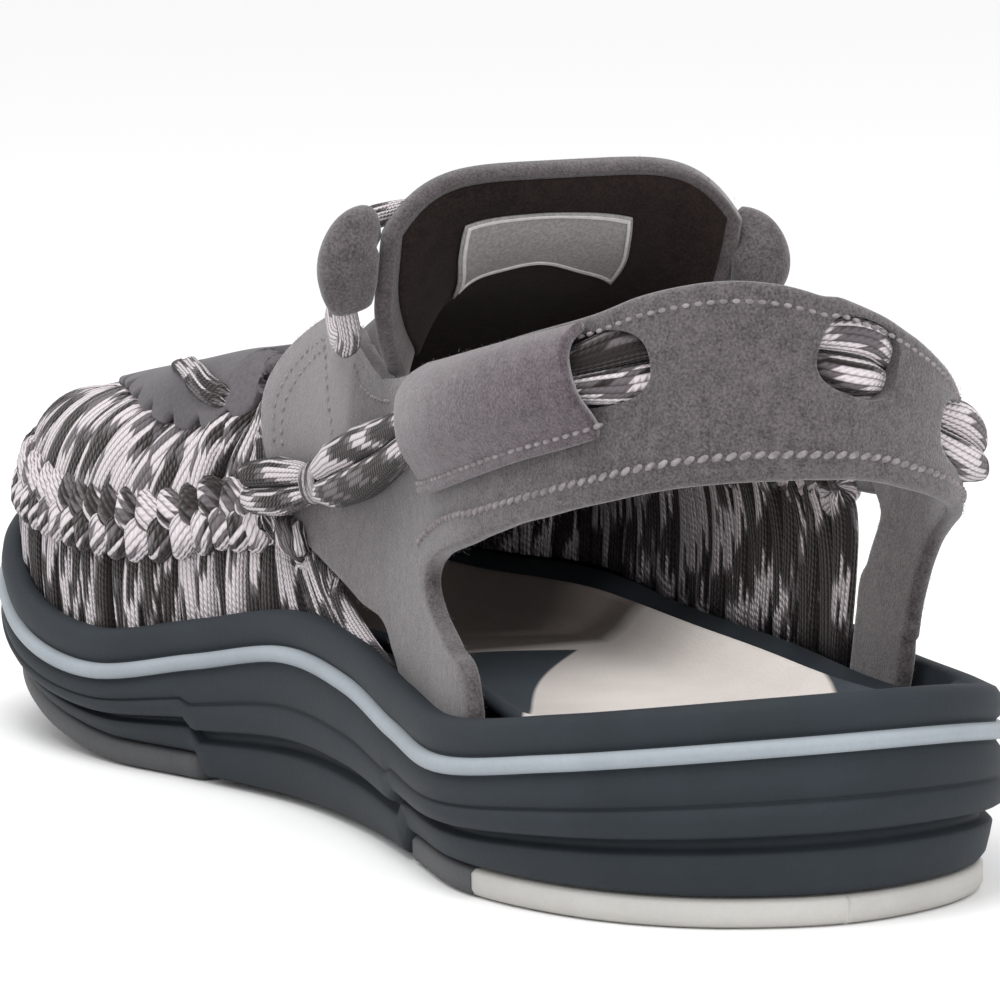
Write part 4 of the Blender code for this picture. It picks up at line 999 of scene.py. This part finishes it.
# turn, rise of the leather's edge
APRON = np.array([
    (0, 1000), (165, 990), (192, 800), (204, 640), (222, 510), (246, 500), (268, 550), (307, 680), (350, 800),
    (390, 860), (440, 930), (490, 980), (520, 1000), (1000, 1000),
]) / 1000


def braid_rise(turn):
    return smooth(turn, BRAID[:, 0], BRAID[:, 1])


def apron_rise(turn):
    """Where the upper loops end: at the edge of the leather, or at the top of the last."""
    return np.interp(turn, APRON[:, 0], APRON[:, 1])


print("guide lines:", len(CAGE))


# %% Lower and upper loops
def even_turns(rise, pitch):
    """Turns at even steps along the cage's line at one rise."""
    turn = np.linspace(0, 1, 1500)
    walk = walked(cage_point(turn, rise))
    number = int(walk[-1] / pitch)
    return np.interp((np.arange(number) + 0.5) / number * walk[-1], walk, turn)


def loops(name, place, low, high, lean, sag, finish, width, thick, pinch, replaces=()):
    """Cords from low to high, leaning along the cage by lean and sagging outwards by sag. Each cord
    is narrower by pinch where it goes under the braid: at its end, or at its start if negative."""
    place = place[:, None]
    number, stations = len(place), 20
    steps = np.linspace(0, 1, stations)[None, :]
    shift = lean(place) + 1e-9
    reach = np.clip(np.where(shift < 0, -place / shift, (1 - place) / shift), 0.15, 1)
    s = steps * reach
    pair = np.where(np.arange(number) % 2, 1, -1)[:, None]
    turn = place + shift * s + pair * 0.0034 * (0.5 - s) + RNG.normal(0, 0.0011, (number, 1))
    turn = np.clip(turn, 0.0, 1.0)
    start, end = low(place), high(np.clip(place + shift, 0, 1))
    rise = np.clip(start + (end - start) * s, 0, 1)
    out = cage_normal(turn, rise)
    lift = RNG.uniform(-0.0005, 0.0006, (number, 1)) + sag * np.sin(np.pi * steps) ** 0.8 - 0.0004
    middle = cage_point(turn, rise) + out * lift[..., None]
    gap = np.linalg.norm(np.gradient(middle, axis=0), axis=-1)
    shape = 1 - abs(pinch) * (steps if pinch > 0 else 1 - steps) ** 2
    wide = np.clip(gap * width, 0.0026, 0.0078) * shape * RNG.uniform(0.85, 1.18, (number, 1))
    thick = np.full((number, stations), thick) * RNG.uniform(0.88, 1.15, (number, 1))
    print(name, number, "cords")
    return cords(name, middle, wide, thick, out, finish, replaces, blunt=True)


def rearwards(turn):
    """Upper loops lean to the heel on both sides, and hardly at the toe."""
    return -0.040 * np.tanh((0.50 - turn) / 0.09) * (1 - 0.5 * ease(turn, 0.80, 0.90))


loops(
    "lower_loops", even_turns(0.12, 0.0052), lambda t: 0 * t, braid_rise, lambda t: 0 * t, 0.0009,
    lower_finish, 1.02, 0.0032, 0.28, ["cord_cage"],
)
loops(
    "upper_loops", even_turns(0.50, 0.0058), lambda t: braid_rise(t) - 0.02, lambda t: apron_rise(t) + 0.004,
    rearwards, 0.0026, upper_finish, 1.18, 0.0034, -0.15,
)

# %% [markdown]
# ## The leather over the toes
#
# On the inner side the leather reaches down over the cage like an apron. Each row of its grid
# starts at the strip's middle line, goes to the top of the cage and follows the cage down to the
# apron's edge. Small bites along that edge are where the loops hook in.

# %% Vamp leather
def apron_rows(length, bite):
    """Points at even steps from the middle line out to the apron's bitten edge, row by row."""
    turn = np.interp(length, CAGE[3:10, 3], CAGE[3:10, 0])
    turns, fall = net(turn, np.linspace(0, 1, 30))
    fall = 1 - (1 - apron_rise(turn))[:, None] * fall
    skirt = cage_point(turns, fall) + cage_normal(turns, fall) * 0.0027
    path = np.concatenate([strip_point(length, 0 * length)[:, None] + (0, 0, 0.0009), skirt], 1)
    walk = walked(path)
    beat = walked(skirt[:, -1])
    end = walk[:, -1] - bite * np.clip(np.cos(2 * np.pi * beat / 0.0086), 0, 1) ** 1.5
    return np.stack([on_line(np.linspace(0, stop, 44), w, line) for stop, w, line in zip(end, walk, path)])


apron_length = np.linspace(0.580, 0.872, 260)
length, share = net(apron_length, np.linspace(-1, 0, 16))
outer_rows = strip_point(length, share) + (0, 0, 0.0009)
lobes = np.abs(np.cos(np.pi * (length - 0.58) * LENGTH / 0.0125)) ** 0.7
outer_rows[..., 2] += 0.0030 * lobes * ease(-share, 0.25, 0.9)
leather_grid = np.concatenate([outer_rows[:, :-1], apron_rows(apron_length, 0.0020)], 1)
slab("vamp_leather", leather_grid, 0.0018, leather.material, ["vamp_strip"])
print("leather grid:", leather_grid.shape)

# %% [markdown]
# ## Cords across the leather
#
# Three thin cords come out of the leather and cross it in a V. Their route is given on the
# leather's own grid: how far along it, and how far from its middle line to its edge.

# %% Crossing cords
# for each cord: places along and across the leather, in thousandths
CROSSING = np.array([
    [(708, 700), (670, 735), (640, 770), (615, 860), (600, 950)],
    [(690, 660), (660, 700), (632, 744), (614, 814), (600, 900)],
    [(652, 690), (643, 744), (633, 800), (617, 865), (602, 930)],
]) / 1000
CROSSING_SIZE = 0.0026
apron_grid = apron_rows(apron_length, 0.0)
apron_out = normals(apron_grid)


def on_leather(grid, along, across):
    """Values of a grid over the leather's inner half at places between its rows and columns."""
    places = np.interp(along, apron_length, np.arange(grid.shape[0])), across * (grid.shape[1] - 1)
    r, c = (np.clip(place.astype(int), 0, size - 2) for place, size in zip(places, grid.shape))
    p, q = (places[0] - r)[:, None], (places[1] - c)[:, None]
    near = grid[r, c] * (1 - q) + grid[r, c + 1] * q
    far = grid[r + 1, c] * (1 - q) + grid[r + 1, c + 1] * q
    return near * (1 - p) + far * p


at = np.linspace(0, 4, 24)
arch = (0.0006 + 0.0012 * np.sin(np.pi * at / 4))[:, None]
crossing, crossing_out = [], []
for route in CROSSING:
    line, out = (np.stack(columns(at, on_leather(grid, *route.T)), -1) for grid in (apron_grid, apron_out))
    crossing_out.append(unit(out))
    crossing.append(line + unit(out) * arch)
size = np.full((3, 24), CROSSING_SIZE)
cords("crossing_cords", np.stack(crossing), size, size * 0.75, np.stack(crossing_out), braid_finish)

# %% [markdown]
# ## The braid
#
# Three strands swing up and down by a sine and in and out by a sine of twice the pace, each one
# third of a period behind its neighbour. Where two strands cross, one is out and the other in.

# %% The braid between the loops
STRANDS, PERIODS, SWING = 3, 22, 0.0034
turn = np.linspace(0.004, 0.996, 24 * PERIODS)[None, :]
phase = turn * PERIODS * 2 * np.pi + np.arange(STRANDS)[:, None] * 2 * np.pi / STRANDS
turn = turn + 0 * phase
middle, out = cage_point(turn, braid_rise(turn)), cage_normal(turn, braid_rise(turn))
up = np.cross(unit(np.gradient(middle, axis=1)), out)
up *= np.sign(up[..., 2:])
middle = middle + up * (SWING * np.sin(phase))[..., None]
middle = middle + out * (0.0016 + 0.0012 * np.sin(2 * phase))[..., None]
wide = 0.0068 * (1 + 0.12 * np.sin(2 * phase + 0.8))
cords("braid", middle, wide, 0.0036 + 0 * phase, out, braid_finish, around=14)
print("braid stations:", middle.shape)

# %% [markdown]
# ## The heel cord and the instep cord
#
# Two strands of the same cord run from the cage's end, under the flap, through the openings of the
# strap and round the heel. Their route repeats the one the solids have. They swell where they
# leave the flap and where they pass an opening, and a wrap of yarn pinches them together.

# %% Routes of the heel cord
# side, length, height, and how far outside the strap's middle in hundredths of the cord's seat
HEEL_CORD = np.array([
    (1, 552, 552, 145), (1, 510, 566, 125), (1, 462, 590, 110), (1, 407, 630, 105), (1, 345, 682, 102),
    (1, 281, 742, 100), (1, 193, 800, 100), (1, 140, 840, 100), (1, 112, 861, 100), (1, 98, 871, 80),
    (1, 80, 884, 0), (1, 63, 896, -80), (1, 52, 904, -102), (1, 30, 917, -105), (1, 8, 922, -110),
    (-1, 0, 914, -95), (-1, 4, 899, -62), (-1, 10, 880, -85), (-1, 18, 856, -105), (-1, 30, 818, -105),
    (-1, 40, 790, -102), (-1, 50, 767, -80), (-1, 66, 737, 0), (-1, 84, 715, 80), (-1, 96, 704, 110),
    (-1, 118, 693, 102), (-1, 150, 685, 105), (-1, 176, 682, 122), (-1, 205, 680, 185), (-1, 235, 680, 190),
    (-1, 280, 683, 188), (-1, 340, 688, 188), (-1, 400, 690, 188), (-1, 460, 690, 188), (-1, 510, 680, 192),
]) / (1, 1000, 1000, 100)
CORD_SEAT = STRAP_THICK / 2 + CLEAR + CORD_SIZE / 2
KNOT = 0.4705
# share of the length to the toe, swelling
SWELL = np.array([
    (0, 10000), (2800, 10000), (3300, 12200), (3800, 15000), (4300, 13800), (4580, 9500), (4705, 6600),
    (4840, 9500), (5100, 12500), (5350, 11500), (5520, 8000),
]) / 10000
SWELL_SPOTS = ((1, 0.062, 0.893), (-1, 0.0022, 0.902), (-1, 0.066, 0.737))


def resample(route, count):
    """Points at equal steps along a smooth curve through the route."""
    walk = walked(route)
    curve = np.stack(columns(np.linspace(0, walk[-1], count * 20), route, walk), -1)
    pace = walked(curve)
    return on_line(np.linspace(0, pace[-1], count), pace, curve)


side, length, height, seat = HEEL_CORD.T
middle, outer = (
    resample(wall(length, side, height * COLLAR, seat * CORD_SEAT + out), 260) for out in (0, CORD_SIZE)
)
out = outer - middle
sideways = np.cross(np.gradient(middle, axis=0), out)
sideways = unit(sideways * np.sign(sideways[:, 2:]))
station = np.arange(260)
to_toe = np.where(station < 130, middle[:, 0] / LENGTH, 0.0)
swell = np.interp(to_toe, SWELL[:, 0], SWELL[:, 1])
for side, length, height in SWELL_SPOTS:
    nearest = int(np.linalg.norm(middle - wall(length, side, height * COLLAR), axis=1).argmin())
    swell = swell + 0.55 * np.exp(-(((station - nearest) / 5.0) ** 2))
middle = middle + unit(out) * (CORD_SIZE / 2 * (swell - 1) * 0.8)[:, None]
shift = (CORD_SIZE + CLEAR) / 2 * swell[:, None] * sideways
size = CORD_SIZE * swell
for name, line, node in (
    ("heel_cord_top", middle + shift, "heel_cord_upper"), ("heel_cord_low", middle - shift, "heel_cord_lower"),
):
    one_cord(name, line, size * 1.10, size, out, heel_finish, [node], around=20)
print("heel cord millimetres:", round(walked(middle)[-1] * 1000))

# %% A wrap of yarn and the instep cord
knot = int(np.abs(to_toe - KNOT).argmin())
angle = np.linspace(0, 2 * np.pi * 3.5, 90)[:, None]
ahead = unit(middle[knot + 1] - middle[knot - 1])
beside, above = sideways[knot], unit(out)[knot]
wrap = middle[knot] + np.linspace(-0.0024, 0.0024, 90)[:, None] * ahead
wrap = wrap + 0.0030 * np.cos(angle) * beside + 0.0019 * np.sin(angle) * above
wrap_out = np.cos(angle) * beside + np.sin(angle) * above
one_cord("knot_wrap", wrap, 0.0015, 0.0011, wrap_out, heel_finish, around=10)

# in millimetres
INSTEP_ROUTE = np.array([
    (136, 25.5, 82.5), (128, 28.5, 80.5), (120, 31, 78.6), (114, 32.8, 78.9), (110.4, 33.8, 81),
    (108.5, 35.2, 85), (106.5, 36.4, 89), (105.4, 36.8, 93), (105.6, 35.4, 96.4), (108, 31.6, 98.8),
    (112, 26, 99.6), (114.5, 17, 99.8), (115, 0, 99.6), (114.5, -19, 99.2), (112, -27, 97.8),
    (108.6, -32.6, 95.6), (105.8, -35.8, 92.5), (104.8, -36.6, 89), (106, -36.4, 86), (108.6, -35.8, 82.6),
    (111, -35.8, 80.2), (114, -36.4, 78.9), (120, -37, 78.6), (128, -38, 80.5), (136, -38, 83),
]) / 1000
FACING = np.array([0.94, 0.0, 0.34])
instep = resample(INSTEP_ROUTE, 200)
one_cord("instep_cord_line", instep, CORD_SIZE, CORD_SIZE, FACING, heel_finish, ["instep_cord"], around=16)
print("instep cord millimetres:", round(walked(instep)[-1] * 1000))

# %% [markdown]
# ## The tongue's tabs
#
# Each tab is a strip of suede folded round the instep cord and sewn to the tongue's edge. Seen from
# outside it is a flat sleeve that follows the cord over the bend, wider than the cord because its
# two layers run on to the seam.

# %% Tabs
for name, corners, inwards, node in (
    ("inner_tab_suede", INSTEP_ROUTE[5:10], -0.0010, "tab_medial"),
    ("outer_tab_suede", INSTEP_ROUTE[19:14:-1], 0.0010, "tab_lateral"),
):
    route = resample(corners, 40) + (0, inwards, 0)
    swell = np.sin(np.linspace(0.35, 2.80, 40)) ** 0.45
    one_cord(name, route, 0.0100 * swell, 0.0062 * swell, FACING, strap_suede, [node], around=28, slot="suede")
    print(name, "millimetres:", round(walked(route)[-1] * 1000))

# %% [markdown]
# ## Stitches
#
# A seam is a row of small stitches, each a short rod that sinks into the suede at both ends. One
# low-polygon stitch is worked out once and then placed at even steps along every seam, all as one
# mesh: its points are turned by each place's own directions in a single product.

# %% Stitch rows
SEAM_OUT = STRAP_THICK / 2 + 0.0001
FINE = {"pitch": 0.0019, "size": 0.0013, "thick": 0.00034}


def stitch_row(seam, pitch, size, thick, slant=0.0):
    """All stitches of a seam, given by its line and outward directions: five rings of six points."""
    points, out = seam
    walk = walked(points)
    at = np.arange(pitch / 2, walk[-1], pitch)
    middle, normal = on_line(at, walk, points), unit(on_line(at, walk, out))
    ahead = unit(on_line(at + 1e-4, walk, points) - middle)
    direction = ahead * np.cos(slant) + np.cross(normal, ahead) * np.sin(slant)
    beside = np.cross(normal, direction)
    t = np.linspace(-1, 1, 5)[:, None, None]
    angle = np.linspace(0, 2 * np.pi, 6, endpoint=False)[:, None]
    radius = thick * np.sqrt(np.clip(1 - t**2 * 0.85, 0, 1))
    middle, direction, beside, normal = (v[:, None, None] for v in (middle, direction, beside, normal))
    ring = middle + t * size / 2 * direction + radius * np.cos(angle) * beside
    ring = ring + (radius * np.sin(angle) - t**2 * thick * 0.9) * normal
    return ring.reshape(-1, 30, 3)


def strap_seam(first, last, share, count):
    """A line along the strap's outer face and its outward directions."""
    at = np.linspace(first, last, count)
    return strap_point(at, share, SEAM_OUT), strap_point(at, share, 0.006) - strap_point(at, share)


def wall_seam(lengths, heights):
    """A line on the inner side given by corners, in thousandths and tenths of a millimetre."""
    even = np.linspace(0, 1, 200)
    lengths, heights = (np.interp(even, np.linspace(0, 1, len(v)), v) for v in (lengths, heights))
    lengths, heights = lengths / 1e3, heights / 1e4
    face = wall(lengths, 1, heights, SEAM_OUT)
    return face, wall(lengths, 1, heights, SEAM_OUT + 0.004) - face


def flap_seam(side, first, last):
    """A line near the lower edge of a flap."""
    length = np.linspace(first, last, 200)
    face = flap_point(side, length, 0.945, FLAP_THICK / 2 + 0.0001)
    return face, flap_point(side, length, 0.945, 0.006) - face


rods = np.concatenate([
    stitch_row(strap_seam(5.5, 30.5, 0.90, 900), 0.0021, 0.0022, 0.0005, 0.45),
    stitch_row(strap_seam(14.2, 27.0, 0.055, 600), 0.0019, 0.0014, 0.00036),
    stitch_row(strap_seam(5.3, 8.2, 0.05, 160), **FINE),
    stitch_row(strap_seam(5.3, 8.2, 0.085, 160), **FINE),
    stitch_row(wall_seam((496, 486, 470, 462), (775, 745, 660, 610)), **FINE),
    stitch_row(wall_seam((440, 425, 405, 385, 365), (745, 715, 702, 700, 705)), **FINE),
    stitch_row(flap_seam(1, 0.070, 0.268), 0.0021, 0.0018, 0.00045),
    stitch_row(flap_seam(-1, 0.262, 0.400), 0.0021, 0.0018, 0.00045),
])
starts = np.arange(len(rods))[:, None, None] * 30
quads = (tube_faces(5, 6) + starts).reshape(-1, 4)
caps = (starts + np.array([(5, 4, 3, 2, 1, 0), (24, 25, 26, 27, 28, 29)])).reshape(-1, 6).tolist()
put_mesh("seam_stitches", rods, quads, thread.material, caps=caps)
print(len(rods), "stitches")

# %% [markdown]
# ## Fuzz on the cut edges
#
# A cut edge of suede sheds short fibres, and against the light they show as a pale fringe. Each is
# a thin three-sided spike. Its place along the edge, its tilt and its length come from one seeded
# random generator, so the fringe is the same on every run.

# %% Edges that shed
def edge_of(grid, column, sign):
    """One long edge of a grid, and the way out of the sheet there."""
    return grid[:, column], unit(np.gradient(grid, axis=1)[:, column] * sign)


def held(points, way):
    """A line of points with one constant way out."""
    return points, np.broadcast_to(way, points.shape)


BOTH_EDGES = ((0, -1), (-1, 1))
strap_half = normals(strap_grid) * STRAP_THICK / 2
fringe = []
for lift in (-0.8, 0.0, 0.8):
    for column, sign in BOTH_EDGES:
        line, way = edge_of(strap_grid, column, sign)
        fringe.append((line + strap_half[:, column] * lift, way))
length, down = np.linspace(0.075, 0.265, 200), np.linspace(0, 1, 60)
fringe.append(held(flap_point(1, length, 0.0, 0.0004), (0.0, 0.3, 1.0)))
fringe.append(held(flap_point(1, length, 1.0, 0.0004), (0.0, 0.5, -1.0)))
fringe.append(held(flap_point(1, 0.075 + FLAP_SLANT * (1 - down), down, 0.0005), (-1.0, 0.2, 0.0)))
tongue_grid = tongue_point(*net(np.linspace(0, 8, 200), np.linspace(-1, 1, 41)))
fringe += [edge_of(tongue_grid, column, sign) for column, sign in BOTH_EDGES]
fringe.append((tongue_grid[0], tongue_grid[0] - tongue_grid[3]))
print("edges with fuzz:", len(fringe))

# %% Fuzz
FIBRE_PITCH, FIBRE_TALL, FIBRE_THIN = 0.00022, 0.0007, 0.00004
feet, ways = [], []
for points, out in fringe:
    walk = walked(points)
    at = np.sort(RNG.uniform(0, walk[-1], int(walk[-1] / FIBRE_PITCH)))
    feet.append(on_line(at, walk, points))
    ways.append(on_line(at, walk, out))
feet, ways = np.concatenate(feet), unit(np.concatenate(ways))
number = len(feet)
feet = feet + RNG.normal(0, 0.00035, (number, 3))
ways = unit(ways + RNG.normal(0, 0.55, (number, 3)))
beside = unit(np.cross(ways, (0.3, 0.5, 0.8)))
tip = feet + ways * (FIBRE_TALL * RNG.uniform(0.4, 1.3, number))[:, None]
angle = np.radians((0, 120, 240))[:, None]
ring = np.cos(angle) * beside[:, None] + np.sin(angle) * np.cross(ways, beside)[:, None]
points = np.concatenate([feet[:, None] + FIBRE_THIN * ring, tip[:, None]], 1)
one = np.array([(0, 1, 3), (1, 2, 3), (2, 0, 3), (0, 2, 1)])
faces = (np.arange(number)[:, None, None] * 4 + one).reshape(-1, 3)
put_mesh("suede_fuzz", points, faces, strap_suede)
print(number, "fibres")

# %% [markdown]
# ## The size label
#
# A woven label is sewn inside the tongue. It is left bare, with only its sewn border. It follows
# the tongue's inner face, so it is a patch of the same surface set just off it.

# %% Label
# share across the tongue and row of its table at the label's top, and again at its foot
LABEL = np.array([
    (-420, 2300, -530, 5100), (-205, 2100, -230, 4550), (60, 1980, 90, 3950), (325, 2020, 400, 4200),
    (570, 2120, 740, 4450),
]) / 1000
weave = Finish("label_weave", Roughness=0.7, Specular_IOR_Level=0.3)
threads = weave.noise(weave.place(), 1800.0, 1.0)
weave.dye(threads, (0.35, (136, 134, 132)), (0.65, (156, 154, 152)))
weave.bump(threads, 0.00008)
border = Finish("label_border", Roughness=0.7)
border.dye(border.noise(border.place(), 900.0), (0.3, (196, 194, 192)), (0.7, (210, 208, 206)))


def label_patch(across, first, last, lift):
    """Columns of the label between its top and bottom lines, a little off the lining."""
    edges = columns(np.linspace(*across), LABEL, np.linspace(0, 1, len(LABEL)))
    share, row = between(edges, np.linspace(first, last, 24)[:, None])
    grid = tongue_point(row, share)
    return grid - normals(grid) * lift


for name, across, first, last, lift, thick, finish in (
    ("size_label", (0, 1, 60), 0.0, 1.0, 0.0036, 0.0004, weave),
    ("label_edge_top", (0.02, 0.98, 60), 0.035, 0.075, 0.0039, 0.0003, border),
    ("label_edge_low", (0.02, 0.98, 60), 0.925, 0.965, 0.0039, 0.0003, border),
    ("label_edge_outer", (0.018, 0.032, 5), 0.035, 0.965, 0.0039, 0.0003, border),
    ("label_edge_inner", (0.968, 0.982, 5), 0.035, 0.965, 0.0039, 0.0003, border),
):
    slab(name, label_patch(across, first, last, lift), thick, finish.material)
    print(name)

# %% [markdown]
# ## Light and floor
#
# The photograph is a catalogue shot: white all round, one broad soft light from above and a
# little fill from the camera's side.

# %% Light and floor
world = bpy.data.worlds.new("studio")
world.use_nodes = True
world.node_tree.nodes["Background"].inputs["Color"].default_value = (1, 1, 1, 1)
world.node_tree.nodes["Background"].inputs["Strength"].default_value = 1.0
bpy.context.scene.world = world
bpy.context.scene.view_settings.view_transform = "Standard"
for name, place, target, power in (
    ("top_light", (-0.25, 0.30, 1.1), (0, 0, 0.03), 7.0), ("camera_fill", (-1.2, 0.2, 0.6), (0, 0, 0.04), 3.0),
):
    light = bpy.data.lights.new(name, "AREA")
    light.size, light.energy = 0.6, power
    back = unit(np.subtract(place, target))
    beside = unit(np.cross((0, 0, 1), back))
    add_object(name, light, (beside, np.cross(back, beside), back, place))
    print(name, power, "W")

floor_mesh = bpy.data.meshes.new("floor")
floor_mesh.from_pydata([(-4, -4, 0), (4, -4, 0), (4, 4, 0), (-4, 4, 0)], [], [(0, 1, 2, 3)])
pale = Finish("studio_floor", Roughness=0.9, Specular_IOR_Level=0.1)
pale.feed("Base Color", (0.93, 0.93, 0.93, 1.0))
floor_mesh.materials.append(pale.material)
floor = add_object("floor", floor_mesh)
